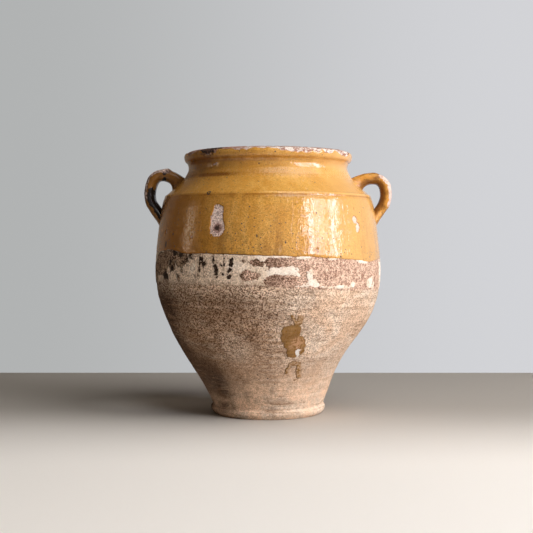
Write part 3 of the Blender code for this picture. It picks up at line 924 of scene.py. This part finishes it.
# the fired finishes, colours in linear light; sizes of clouds, cells and dots in metres
honey = {
    "thin": (0.76, 0.414, 0.098),
    "full": (0.635, 0.302, 0.050),
    "pooledAndShade": (0.27, 0.098, 0.011),
    "shaded": (0.385, 0.136, 0.009),
    "dashAndShade": (0.36, 0.125, 0.012),
    "line": (0.080, 0.029, 0.009),
    "speck": (0.036, 0.018, 0.008),
    "burnt": (0.030, 0.018, 0.012),
    "pepper": (0.20, 0.085, 0.016),
    "pale": (0.82, 0.60, 0.36),
    "litCream": (0.80, 0.455, 0.165),
    "olive": (0.25, 0.150, 0.036),
    "sandDark": (0.78, 0.75, 0.68),     # what the darkest and the lightest grains do to the colour
    "sandLight": (1.15, 1.17, 1.22),
    # bands across the pot: where each starts, is full, is full for the last time, and ends
    "neck": below(0.0172, 0.0136, 0.0108, 0.0080),
    "collarLine": below(0.0320, 0.0292, 0.0285, 0.0252),
    "collarShelf": below(0.0345, 0.0300, 0.0235, 0.0205),
    "collarHollow": below(0.0330, 0.0290, 0.0190, 0.0150),
    "underRidge": below(0.0570, 0.0518, 0.0508, 0.0498),
    "ridgeCrease": below(0.0526, 0.0516, 0.0510, 0.0502),
    # iron spots as (bearing, height, reach, share of the reach upwards), and one burst bubble
    "marks": (
        (-5.2, 0.1961, 0.0013, 0.45), (8.2, 0.1896, 0.0013, 0.65), (-26.4, 0.1851, 0.0012, 0.9),
        (-20.1, 0.1841, 0.0010, 0.9), (-15.1, 0.2103, 0.0010, 0.8), (-24.2, 0.2306, 0.0010, 0.9),
        (-33.0, 0.2050, 0.0012, 0.7), (-29.0, 0.1990, 0.0010, 0.9), (-61.3, 0.1879, 0.0028, 0.6),
        (-54.5, 0.1985, 0.0018, 0.8), (-57.2, 0.1927, 0.0014, 0.9), (-44.9, 0.2218, 0.0011, 0.4),
        (-52.1, 0.1856, 0.0016, 0.7),
    ),
    "scuffed": wallSpot(-42.0, 0.2040),
    "bubble": wallSpot(-31.9, 0.2403),
    "burntRim": (-0.0600, -0.0655, 0.2870),
    "roughness": 0.07,
    "ior": 1.6,           # lead glaze
}


def glazeBump(bench, place):
    drawn = place.drawn(0.20)
    threads = drawn.cloud(0.0065, 1.0, 0.5).threads(0.045, 0.0)
    threads = threads + drawn.cloud(0.0034, 1.0, 0.5).threads(0.060, 0.0) * 0.6
    ground = bench.bump(place.cloud(0.021, 1.0, 0.5), 0.0006)
    ground = bench.bump(threads, 0.000062, ground)
    return bench.bump(place.cloud(0.0032, 2.0, 0.55), 0.00012, ground)


# goes down towards the left edge of the pot
def leftTurn(side, front):
    return side / (front.math("ABSOLUTE") + 0.010)


def honeyFinish():
    made, bench, place = newFinish("honeyGlaze", honey)
    side, front, height = place.parts()
    edge = bench.measure("edge")
    drawn = place.drawn(0.16)
    streaks = drawn.cloud(0.010, 3.0, 0.6)
    clouds = place.cloud(0.040, 4.0, 0.6, 0.4)
    fine = place.cloud(0.0019, 2.0, 0.65)
    mix = clouds * 0.40 + streaks * 0.25 + fine * 0.35
    bench.tone = bench.tint(mix.ease(0.42, 0.60), "full", "thin")
    # it lies thick in the grooves and along the dipped edge; the darkening on the left of the neck, along
    # the collar line and under the ridge is painted shade as well
    neck = height.band(*honey["neck"])
    poolAndShade = neck * (side.ease(0.045, -0.060) * 0.60 + 0.28)
    poolAndShade = poolAndShade + height.band(*honey["collarLine"]) * (side.ease(-0.010, -0.055) * 1.2 + 0.1)
    poolAndShade = poolAndShade + height.band(*honey["underRidge"]) * 0.45 + edge.ease(0.0017, 0.0002) * 0.50
    bench.layer(poolAndShade * drawn.cloud(0.016, 2.0).ease(0.22, 0.62), "pooledAndShade")
    # darker on the left of the neck, under the lip, and a burnt spot by the rim
    leftNeckDark = height.ease(*below(0.0260, 0.0150)) * side.ease(-0.045, -0.082) * 0.45
    leftNeckDark = leftNeckDark + neck * side.ease(-0.040, -0.074) * 0.60
    bench.layer(leftNeckDark * clouds.ease(0.30, 0.55) * 0.85, "line")
    burnt = place.gap(honey["burntRim"], (1.0, 1.0, 1.8)) + (place.cloud(0.006) - 0.5) * 0.030
    bench.layer(burnt.ease(0.017, 0.010) * fine.ease(0.36, 0.50) * 0.97, "burnt")
    # pepper of iron, heavier low down and on the left
    heavy = height.ease(0.222, 0.182) * 0.55 + side.ease(0.030, -0.085) * 0.45
    bench.layer((fine + heavy * 0.110).ease(0.620, 0.700) * 0.66, "pepper")
    shoulder = height.ease(*below(0.0530, 0.0480))
    stain = (drawn.cloud(0.013, 4.0, 0.65) + heavy * 0.07).ease(0.545, 0.690)
    bench.layer(stain * (1 - shoulder * 0.75) * 0.45, "pooledAndShade")
    mould = place.cloud(0.011, 3.0, 0.6).ease(0.47, 0.62) * height.ease(0.216, 0.190)
    bench.layer(mould * side.ease(0.030, -0.020) * 0.40, "olive")
    sand = place.cells(0.0010).pick()
    bench.sprinkle(1 - shoulder * 0.5, bench.tint(sand, "sandDark", "sandLight"))
    dipped = edge.ease(0.0018, 0.0006) * height.ease(0.190, 0.186)
    bench.layer(dipped * side.ease(0.020, -0.025) * 0.85, "line")
    # painted shade: browner on the left; painted light: creamier on the right
    collar = height.ease(*below(0.0300, 0.0240))
    shaded = side.ease(-0.030, -0.100) * (0.82 - shoulder * 0.54 + collar * 0.40)
    bench.layer(shaded, "shaded")
    bench.layer(side.ease(0.035, 0.090) * (shoulder * 0.30 + 0.50), "litCream")
    # painted shade: a thin dark line in the crease under the ridge
    creaseShade = height.band(*honey["ridgeCrease"]) * streaks.ease(0.36, 0.58)
    bench.layer(creaseShade * 0.60, "dashAndShade")
    # painted shade: darker below the ridge than on the shoulder, except on the right
    low = height.ease(*below(0.0470, 0.0560)) * side.ease(0.050, 0.010)
    bench.layer(low * 0.06, "pooledAndShade")
    bench.layer(place.drawn(0.25).dots(0.0090, 0.08, 0.55) * 0.8, "dashAndShade")
    # specks, the iron spots and the bubble's dark ring
    dense = (place.cloud(0.022, 2.0) + heavy * 0.28).ease(0.57, 0.68)
    speck = place.dots(0.0085, 0.13, 0.66) + place.dots(0.0044, 0.21, 0.45) * dense
    speck = speck + place.dots(0.0062, 0.15, 0.58) * height.ease(0.240, 0.200)
    for bearing, spotHeight, size, tall in honey["marks"]:
        gap = place.gap(wallSpot(bearing, spotHeight), (1.0, 1.0, tall))
        speck = speck + gap.ease(size, size * 0.6)
    burst = place.gap(honey["bubble"]) + (fine - 0.5) * 0.0012
    speck = speck + burst.band(0.0011, 0.0018, 0.0023, 0.0030)
    bench.layer(speck, "speck")
    # scuffs, and a spot rubbed nearly through
    scuff = drawn.cloud(0.005, 4.0, 0.7).ease(0.60, 0.76) * clouds.ease(0.44, 0.62)
    bench.layer(scuff * 0.40, "pale")
    rubbed = place.gap(honey["scuffed"], (1.0, 1.0, 0.32)) + (streaks - 0.5) * 0.010
    rubbed = rubbed.ease(0.0090, 0.0040) * place.cloud(0.0022, 2.0, 0.6).ease(0.50, 0.57)
    bench.layer(rubbed * 0.80, "pale")
    # darker in the hollow of the collar, except on the right: pooled glaze and painted shade
    hollow = height.band(*honey["collarHollow"]) * side.ease(0.060, 0.000)
    bench.layer(hollow * 0.16, "pooledAndShade")
    frost = place.cloud(0.0015, 1.0).ease(0.50, 0.62)
    matt = leftTurn(side, front).ease(-0.55, -0.75) * (fine * 0.6 + streaks * 0.4).ease(0.55, 0.49)
    roughness = (scuff + rubbed) * 0.25 + speck * 0.45 + frost * 0.10 + honey["roughness"]
    roughness = roughness + matt * 0.10 + height.band(*honey["collarShelf"]) * 0.20
    closeFinish(bench, roughness, glazeBump(bench, place), honey["ior"])
    return made


slip = {
    "cream": (0.92, 0.800, 0.680),
    "dull": (0.83, 0.665, 0.512),
    "stain": (0.30, 0.185, 0.115),
    "thin": (0.46, 0.315, 0.215),
    "sandDark": (0.62, 0.56, 0.50),
    "sandLight": (1.44, 1.46, 1.48),
    "roughness": 0.80,
}
clay = {
    "pale": (0.84, 0.695, 0.555),
    "warm": (0.70, 0.498, 0.350),
    "brown": (0.345, 0.202, 0.114),
    "pepper": (0.150, 0.078, 0.044),
    "grimeAndShade": (0.110, 0.061, 0.034),
    "soot": (0.028, 0.018, 0.013),
    "foot": (0.84, 0.585, 0.405),
    "grainSize": 0.0010,
    "grainDark": (0.25, 0.165, 0.120),  # what the darkest and the lightest grains do to the colour
    "grainLight": (1.48, 1.49, 1.49),
    "crumb": (0.72, 0.505, 0.380),      # under the flaked slip
    "crumbRed": (0.330, 0.180, 0.125),
    "crumbDark": (0.340, 0.212, 0.150),
    "crust": (0.500, 0.345, 0.235),
    "crustDark": (0.175, 0.105, 0.064),
    "bared": (0.93, 0.750, 0.680),      # under a chip in the glaze
    "baredRed": (0.42, 0.220, 0.170),
    "rimRed": (0.40, 0.205, 0.150),
    "rimWhite": (0.84, 0.740, 0.650),
    "burnt": (0.035, 0.021, 0.015),
    "chipHole": wallSpot(-25.0, 0.2045),
    "paleFlake": wallSpot(-8.0, 0.1560),
    # black gouges as (bearing, height, reach); patches of tone as (bearing, height, reach, tone, share)
    "blackSpots": (
        (-60.3, 0.1499, 0.0110), (-51.9, 0.1798, 0.0046), (-46.8, 0.1778, 0.0040),
        (-56.0, 0.1692, 0.0034), (-53.7, 0.1630, 0.0034),
    ),
    # the dark patches below 0.05 m on the left, at bearings -40.5 to -48, are painted shade as well as
    # grime and soot
    "patches": (
        (-24.5, 0.1158, 0.034, "brown", 0.36), (-17.3, 0.1316, 0.020, "grimeAndShade", 0.28),
        (-44.5, 0.0927, 0.020, "brown", 0.40), (-16.7, 0.0821, 0.026, "pale", 0.45),
        (-2.9, 0.1114, 0.018, "brown", 0.12), (-40.5, 0.0345, 0.014, "soot", 0.60),
        (-48.0, 0.0440, 0.034, "grimeAndShade", 0.80), (-43.5, 0.0375, 0.019, "soot", 0.55),
        (40.0, 0.0500, 0.022, "brown", 0.30), (-17.0, 0.0272, 0.008, "grimeAndShade", 0.60),
    ),
    "roughness": 0.86,
    "ior": 1.25,
}


def clayFinish():
    made, bench, place = newFinish("terracotta", clay)
    side, front, height = place.parts()
    turn = leftTurn(side, front)
    scraped = place.drawn(26.0)
    fine = place.cloud(0.0015, 3.0, 0.70)
    grit = place.drawn(1.6).cloud(0.0046, 4.0, 0.70)
    blotch = place.cloud(0.024, 4.0, 0.62, 0.6)
    veil = place.cloud(0.075, 2.0)
    rings = place.drawn(9.0).cloud(0.050, 5.0, 0.62)
    scrapes = scraped.cloud(0.060, 3.0, 0.6)
    bench.tone = bench.tint((blotch * 0.6 + veil * 0.4).ease(0.40, 0.60), "warm", "pale")
    # grit and grime, heaviest on the front left of the belly; the far left edge and the low left are
    # darkened as painted shade
    clean = height.ease(0.064, 0.020)
    left = (side + front * 0.25).ease(0.050, -0.055)
    heavy = (1 - clean * 0.8) * left
    soft = grit * 0.30 + rings * 0.40 + blotch * 0.30 + heavy * 0.12
    bench.layer(soft.ease(0.450, 0.680) * 0.80, "brown")
    # soot just below the slip band, and painted shade on the far left edge and low on the left
    sootAndShade = turn.ease(-0.75, -1.9) + height.band(0.096, 0.116, 0.130, 0.143) * left * 0.40
    sootAndShade = sootAndShade + turn.ease(-0.30, -0.80) * height.ease(0.095, 0.050)
    bench.layer(sootAndShade * (blotch.ease(0.26, 0.54) * 0.5 + 0.4), "grimeAndShade")
    smudge = place.cloud(0.016, 4.0, 0.6, 0.5).ease(0.52, 0.68) * left
    bench.layer(smudge * 0.55, "grimeAndShade")
    bench.layer(height.band(0.012, 0.022, 0.050, 0.090) * 0.34, "brown")
    for bearing, spotHeight, size, name, share in clay["patches"]:
        gap = place.gap(wallSpot(bearing, spotHeight)) + (blotch - 0.5) * size * 1.6
        bench.layer(gap.ease(size, size * 0.3) * share, name)
    # marks of the rib that smoothed it, scratches and open pores
    marks = scrapes.ease(0.57, 0.67) * (veil + left * 0.08).ease(0.42, 0.56)
    bench.layer(marks * 0.55, "brown")
    bench.layer(scrapes.ease(0.40, 0.30) * 0.35, "warm")
    scratches = scraped.cloud(0.120, 2.0, 0.5).threads(0.040, 0.012)
    scratches = scratches * place.cloud(0.026, 2.0).ease(0.50, 0.60)
    bench.layer(scratches * 0.60, "brown")
    holes = place.dots(0.0095, 0.12, 0.45) + place.dots(0.0052, 0.15, 0.62)
    holes = holes + place.dots(0.0060, 0.16, 0.34) * left * height.ease(0.050, 0.080)
    bench.layer(holes * 0.9, "soot")
    # the paler foot colour is weaker on the left
    leftAboveFoot = turn.ease(-0.30, -0.80) * height.ease(0.016, 0.030)
    bench.layer(clean * blotch.ease(0.66, 0.38) * (0.8 - leftAboveFoot * 0.60), "foot")
    # dust of slip, and the crumbled band where it has flaked off, sooty on the left
    dust = height.ease(0.127, 0.145) * side.ease(0.075, 0.020) * grit.ease(0.38, 0.58)
    bench.layer(dust * 0.50, slip["dull"])
    crumb = place.cloud(0.0042, 4.0, 0.66, 0.8)
    broken = crumb * 0.55 + fine * 0.45
    flaked = bench.tint(broken.ease(0.46, 0.59), "crumb", "crumbRed")
    dark = (side + (crumb - 0.5) * 0.06).ease(0.034, -0.008)
    dark = dark * place.gap(clay["paleFlake"]).ease(0.0010, 0.0130)
    crusty = bench.tint(broken.ease(0.44, 0.57), "crumbDark", "grimeAndShade")
    crust = bench.tint(broken.ease(0.46, 0.58), "crust", "crustDark")
    crusty = bench.tint(side.ease(-0.078, -0.090), crusty, crust)
    flaked = bench.tint(dark, flaked, crusty)
    gouged = side.band(-0.088, -0.080, -0.034, -0.022)
    gouged = gouged + side.ease(-0.078, -0.088) * crumb.ease(0.55, 0.59)
    for bearing, spotHeight, size in clay["blackSpots"]:
        gap = place.gap(wallSpot(bearing, spotHeight)) + (crumb - 0.5) * size
        gouged = gouged.math("MAXIMUM", gap.ease(size, size * 0.75))
    flaked = bench.tint(gouged * 0.95, flaked, "soot")
    bench.layer((height + (grit - 0.5) * 0.004 + side * 0.055).ease(0.1435, 0.1465), flaked)
    # salt and pepper
    dirt = place.cells(clay["grainSize"]).pick() * 0.80 + place.cloud(0.0013, 1.0) * 0.20
    gain = bench.tint(dirt.ease(0.12, 0.80), "grainDark", "grainLight")
    smooth = (height + (veil - 0.5) * 0.06).ease(0.105, 0.035)
    gain = bench.tint((1 - smooth * 0.62) * (left * 0.50 + 0.50), (1, 1, 1), gain)
    bench.sprinkle(1.0, gain)
    pepper = (fine * 0.7 + grit * 0.3 + heavy * 0.06).ease(0.590, 0.690)
    bench.layer(pepper * (0.75 - smooth * 0.30), "pepper")
    # clean clay where the glaze is chipped
    bared = bench.tint((fine * 0.6 + grit * 0.4).ease(0.52, 0.62) * 0.8, "bared", "baredRed")
    bared = bench.tint(0.6, bared, bench.tint(1.0, bared, gain, "MULTIPLY"))
    hole = place.gap(clay["chipHole"]) + (grit - 0.5) * 0.009
    bared = bench.tint(hole.ease(0.0066, 0.0036) * 0.9, bared, "baredRed")
    bared = bench.tint(hole.ease(0.0042, 0.0018) * 0.95, bared, "burnt")
    bared = bench.tint(side.ease(0.060, 0.085) * 0.5, bared, "warm")
    bench.layer(height.ease(0.1820, 0.1860), bared)
    # the worn lip
    white = place.cloud(0.0050, 4.0, 0.7).ease(0.46, 0.54) * height.ease(*below(0.0004, 0.0018))
    white = white * (side.ease(-0.050, 0.010) * 0.75 + 0.25)
    worn = bench.tint(white, "rimRed", "rimWhite")
    worn = bench.tint(fine.ease(0.60, 0.68) * 0.8, worn, "pepper")
    burnt = place.gap(honey["burntRim"]) + (place.cloud(0.006) - 0.5) * 0.040
    burnt = burnt.ease(0.020, 0.013) * fine.ease(0.64, 0.54)
    worn = bench.tint(burnt * 0.95, worn, "burnt")
    bench.layer(height.ease(*below(0.0085, 0.0060)), worn)
    ground = bench.bump(rings - scratches * 0.30, 0.0009)
    ground = bench.bump(grit * (1 - clean * 0.7), 0.00050, ground)
    ground = bench.bump(fine * (1 - clean * 0.6), 0.00044, ground)
    closeFinish(bench, clay["roughness"], ground, clay["ior"])
    return made


def slipFinish():
    made, bench, place = newFinish("whiteSlip", slip)
    side, _, height = place.parts()
    edge = bench.measure("edge")
    left = side.ease(0.020, -0.075)
    clouds = place.cloud(0.018, 4.0, 0.62)
    fine = place.cloud(0.0017, 3.0, 0.68)
    bench.tone = bench.tint((clouds + left * 0.18).ease(0.44, 0.62), "cream", "dull")
    stain = (fine * 0.75 + clouds * 0.25 + left * 0.045).ease(0.530, 0.640)
    bench.layer(stain * 0.56, "stain")
    sand = place.cells(0.0011).pick()
    bench.sprinkle(left * 0.7 + 0.3, bench.tint(sand, "sandDark", "sandLight"))
    bench.layer(place.dots(0.0034, 0.28, 0.40) * (left * 0.7 + 0.3) * 0.90, "stain")
    # painted shade along the flake edges, heavier on the left and black at the far left, and thin where
    # it ends low down
    bench.layer(edge.ease(0.0011, 0.0) * (left * 0.55 + 0.1), "stain")
    bench.layer(edge.ease(0.0010, 0.0003) * side.ease(-0.070, -0.085) * 0.70, clay["soot"])
    thin = edge.ease(0.0042, 0.0) * height.ease(0.1535, 0.1480)
    thin = thin * side.ease(0.040, 0.010) * fine.ease(0.36, 0.56)
    bench.layer(thin * 0.9, "thin")
    ground = bench.bump(clouds, 0.0005)
    ground = bench.bump(fine, 0.00030, ground)
    closeFinish(bench, slip["roughness"], ground, clay["ior"])
    return made


runny = {
    "brown": (0.220, 0.099, 0.016),
    "thin": (0.320, 0.162, 0.040),
    "orange": (0.530, 0.290, 0.150),
    "white": (0.80, 0.75, 0.70),
    "dark": (0.150, 0.078, 0.020),
    "orangeMiddle": wallSpot(18.6, 0.0845),
    "whiteSpot": wallSpot(21.0, 0.0750),
    "whiteShape": (1.0, 0.15, 0.42),
    "roughness": 0.15,
}


def runFinish():
    made, bench, place = newFinish("brownGlaze", runny)
    height = place.parts()[2]
    clouds = place.cloud(0.0075, 4.0, 0.62)
    fine = place.cloud(0.0022, 3.0, 0.68)
    lines = place.drawn(9.0).cloud(0.020, 3.0, 0.6)
    bench.tone = bench.tint((clouds * 0.5 + lines * 0.5).ease(0.44, 0.60), "brown", "thin")
    near = place.gap(runny["orangeMiddle"]) + (clouds - 0.5) * 0.022
    bare = near.ease(0.0095, 0.0060)
    bench.layer(bare * 0.9, bench.tint(fine.ease(0.46, 0.58), "orange", "brown"))
    spot = place.gap(runny["whiteSpot"], runny["whiteShape"]) + (fine + clouds - 1) * 0.006
    bench.layer(spot.ease(0.0024, 0.0017), "white")
    # the spout and the drips have nearly worn away
    faded = height.ease(0.1055, 0.1090) + height.ease(0.0670, 0.0640)
    bench.layer(faded * fine.ease(0.42, 0.60) * 0.5, clay["warm"])
    bench.layer(bench.measure("edge").ease(0.0012, 0.0) * 0.60, "dark")
    closeFinish(bench, bare * 0.4 + fine * 0.30 + runny["roughness"], glazeBump(bench, place))
    return made


strapGlaze = {
    "honey": (0.66, 0.320, 0.062),
    "brown": (0.215, 0.088, 0.018),
    "dark": (0.050, 0.024, 0.011),
    "pink": (0.80, 0.610, 0.520),
    "red": (0.40, 0.200, 0.140),
    "dirty": (0.12, 0.066, 0.052),      # worn clay on the left strap
    "soot": (0.014, 0.009, 0.007),
    "roughness": 0.16,
    "wornRoughness": 0.82,
    "ior": 1.36,
}


def strapFinish():
    made, bench, place = newFinish("handleGlaze", strapGlaze)
    side = place.parts()[0]
    clouds = place.cloud(0.014, 4.0, 0.62, 0.4)
    fine = place.cloud(0.0030, 4.0, 0.68)
    flecks = place.cloud(0.0018, 3.0, 0.68)
    bench.tone = bench.tint(clouds.ease(0.46, 0.66), "honey", "brown")
    # painted shade: the inner face browner; all of a strap with stain 1 is browner too
    bench.layer(bench.measure("inside") * 0.88, "brown")
    bench.layer(fine.ease(0.58, 0.68) * 0.7, "dark")
    bench.layer((bench.measure("soot") + (fine - 0.5) * 0.8).ease(0.36, 0.64), "soot")
    bare = bench.tint((flecks * 0.7 + clouds * 0.3).ease(0.46, 0.66), "pink", "red")
    bare = bench.tint(side.ease(0.02, -0.02) * fine.ease(0.44, 0.56), bare, "dirty")
    worn = (bench.measure("worn") + (fine - 0.5) * 0.9 + (clouds - 0.5) * 0.5).ease(0.42, 0.56)
    bench.layer(worn, bare)
    ground = bench.bump(worn, -0.0005)
    ground = bench.bump(fine, 0.00034, ground)
    roughness = worn * (strapGlaze["wornRoughness"] - strapGlaze["roughness"]) + strapGlaze["roughness"]
    closeFinish(bench, roughness, ground, strapGlaze["ior"])
    return made


inner = {
    "honey": (0.58, 0.300, 0.062),
    "brown": (0.33, 0.145, 0.028),
    "craze": (0.14, 0.065, 0.022),
    "roughness": 0.10,
}


def liningFinish():
    made, bench, place = newFinish("liningGlaze", inner)
    height = place.parts()[2]
    clouds = place.drawn(0.30).cloud(0.024, 4.0, 0.6, 0.4)
    cracks = place.cells(0.011, "DISTANCE_TO_EDGE")
    bench.tone = bench.tint(clouds.ease(0.38, 0.62), "honey", "brown")
    bench.layer(height.ease(0.060, 0.016) * 0.5, "brown")
    bench.layer(cracks.ease(0.030, 0.008) * clouds.ease(0.40, 0.60) * 0.6, "craze")
    closeFinish(bench, clouds * 0.12 + inner["roughness"], glazeBump(bench, place))
    return made


# pieces, each on the pot's one body
for piece, node, slotName in (
    (makeBody(clayFinish()), "thrown_body", "terracotta"),
    (makeCoat("outerGlaze", outerGlaze, glazeField, honeyFinish()), "outer_glaze", "honey_glaze"),
    (makeCoat("slipBand", slipBand, slipField, slipFinish()), "slip_band", "white_slip"),
    (makeCoat("glazeRun", glazeRun, runField, runFinish()), "glaze_run", "brown_glaze"),
    (makeCoat("liningGlaze", lining, liningField, liningFinish()), "inner_glaze", "lining_glaze"),
):
    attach(piece, "root")
    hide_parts(node)
handleFinish = strapFinish()
for side in ("left", "right"):
    handle = makeHandle(side + "Handle", strap[side], handleFinish)
    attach(handle, "root")
    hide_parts(side + "_handle")
bpy.data.objects.remove(profile, do_unlink=True)


# the stage: a pale table top that ends behind the pot
stage = {
    # painted light and shade: the table is lighter near the camera and darker towards the back and the
    # ends
    "near": (0.93, 0.895, 0.840),
    "far": (0.42, 0.390, 0.350),
    "nearToFar": (-0.27, 0.07),
    # painted light: a paler spot behind the foot, where the pot's shadow falls
    "shadowLift": (-0.110, 0.060, 0.0),    # a paler spot behind the foot
    "shadowLiftShape": (9.0, 13.0, 1.0),
    "ends": (0.24, 0.225, 0.205),
    "endsFrom": (0.52, 1.00),
    "endsShape": (1.35, 1.0, 1.0),
    "roughness": 0.85,
    "corners": ((-0.95, -1.05, 0), (0.95, -1.05, 0), (0.95, 0.346, 0), (-0.95, 0.346, 0)),
}


def makeStage():
    made, bench, place = newFinish("tableTop", stage)
    # painted light and shade: lighter near the camera, darker towards the back
    back = place.parts()[1] + place.cloud(0.35, 3.0, 0.5) * 0.05
    bench.tone = bench.tint(back.ease(*stage["nearToFar"]), "near", "far")
    # painted light that lifts the pot's shadow behind the foot
    shadowLift = place.gap(stage["shadowLift"], stage["shadowLiftShape"])
    bench.layer(shadowLift.ease(1.1, 0.2) * 0.85, "near")
    # painted shade: darker towards the ends of the table
    away = place.gap((0.0, 0.0, 0.0), stage["endsShape"])
    bench.layer(away.ease(*stage["endsFrom"]), "ends")
    closeFinish(bench, stage["roughness"])
    mesh = bpy.data.meshes.new("tableTop")
    mesh.from_pydata(stage["corners"], [], [(0, 1, 2, 3)])
    mesh.materials.append(made)
    plane = newPiece("tableTop", mesh, {})


makeStage()


# a window to the right with two bright panes in it, the room above it, a strip of light on the left
light = {
    "aim": (0, 0, 0.17),
    "room": (1.0, 0.82, 0.66),
    "roomStrength": 0.085,
    "backdropLeft": (0.44, 0.45, 0.45),
    "backdropRight": (0.65, 0.655, 0.68),
    "backdropSpan": (-0.26, 0.26),
    "mirroredLeft": (1.0, 0.78, 0.60),
    "mirroredSpan": (-0.30, 0.10),
    "lamps": (
        # name, what it does, bearing, rise, roll, away, wide, tall, watts, tone
        ("window", "lights", 58, 17, 20, 1.90, 1.35, 1.10, 37, (1.0, 0.98, 1.0)),
        ("above", "both", 48, 58, 0, 1.90, 1.80, 1.30, 21, (1.0, 0.99, 0.97)),
        ("curtain", "glints", 58, 17, 20, 1.90, 1.35, 1.10, 8.0, (1.0, 0.97, 0.92)),
        ("sheet", "glints", 54.0, 18, 20, 1.85, 0.40, 1.00, 7.0, (1.0, 0.96, 0.96)),
        ("paneLeft", "glints", 44.0, 17.5, 16, 1.85, 0.16, 1.00, 8.2, (1.0, 0.84, 1.0)),
        ("paneRight", "glints", 71.5, 17, 26, 1.85, 0.24, 1.00, 10.5, (1.0, 0.80, 1.0)),
        ("strip", "glints", -85, 10, 0, 1.30, 0.06, 0.50, 0.7, (1.0, 0.74, 0.55)),
    ),
}


def addLamp(name, work, bearing, rise, roll, away, wide, tall, watts, tone):
    lamp = bpy.data.lights.new(name, "AREA")
    lamp.shape = "RECTANGLE"
    lamp.size = wide
    lamp.size_y = tall
    lamp.energy = watts
    lamp.color = tone
    made = bpy.data.objects.new(name, lamp)
    turn = math.radians(bearing)
    rise = math.radians(rise)
    out = Vector((math.sin(turn) * math.cos(rise), -math.cos(turn) * math.cos(rise), math.sin(rise)))
    made.location = Vector(light["aim"]) + out * away
    facing = (-out).to_track_quat("-Z", "Y") @ Quaternion((0, 0, 1), -math.radians(roll))
    made.rotation_euler = facing.to_euler()
    made.visible_glossy = work != "lights"
    made.visible_diffuse = work != "glints"
    bpy.context.scene.collection.objects.link(made)


for settings in light["lamps"]:
    addLamp(*settings)


# a dim warm room, and a pale backdrop that the camera sees and the glaze mirrors in part
def makeRoom():
    world = bpy.data.worlds.new("room")
    world.use_nodes = True
    world.node_tree.nodes.clear()
    bench = Bench(world.node_tree, light)
    across, _, rise = bench.node("ShaderNodeTexCoord", out="Generated").parts()
    span = across.ease(*light["backdropSpan"])
    bench.tone = bench.tint(span, "backdropLeft", "backdropRight")
    seen = bench.node("ShaderNodeLightPath", out="Is Camera Ray")
    glossy = seen.also("Is Glossy Ray")
    warm = bench.tint(across.ease(*light["mirroredSpan"]), "mirroredLeft", (1, 1, 1))
    bench.sprinkle(glossy, warm)
    mirrored = across.ease(-0.86, -0.74) * 0.55 + across.ease(-0.20, 0.30) * 0.45
    seen = seen + glossy * mirrored * rise.ease(0.60, 0.22)
    dim = {"Color": bench.colour("room"), "Strength": light["roomStrength"]}
    room = bench.node("ShaderNodeBackground", {}, dim)
    backdrop = bench.node("ShaderNodeBackground", {}, {"Color": bench.tone})
    both = bench.node("ShaderNodeMixShader", {}, {0: seen, 1: room, 2: backdrop})
    bench.node("ShaderNodeOutputWorld", {}, {"Surface": both})
    bpy.context.scene.world = world


makeRoom()
print("table top,", len(light["lamps"]), "lamps and the room set up")

# the photograph's camera: eye level a little below the ridge, on a 533 pixel square
view = {
    "eye": (0.0, -1.143, 0.1863),
    "pixels": 533,
    "focal": 1017.0,        # in pixels
    "horizon": 245.8,
    "axis": 268.0,
}
camera = bpy.data.cameras.new("camera")
camera.sensor_width = 36.0
camera.lens = view["focal"] / view["pixels"] * camera.sensor_width
eye = bpy.data.objects.new("camera", camera)
eye.location = view["eye"]
tilt = math.atan((view["pixels"] / 2 - view["horizon"]) / view["focal"])
pan = math.atan((view["axis"] - view["pixels"] / 2) / view["focal"])
eye.rotation_euler = (math.radians(90) - tilt, 0, pan)
bpy.context.scene.collection.objects.link(eye)
bpy.context.scene.camera = eye
bpy.context.scene.view_settings.view_transform = "Standard"
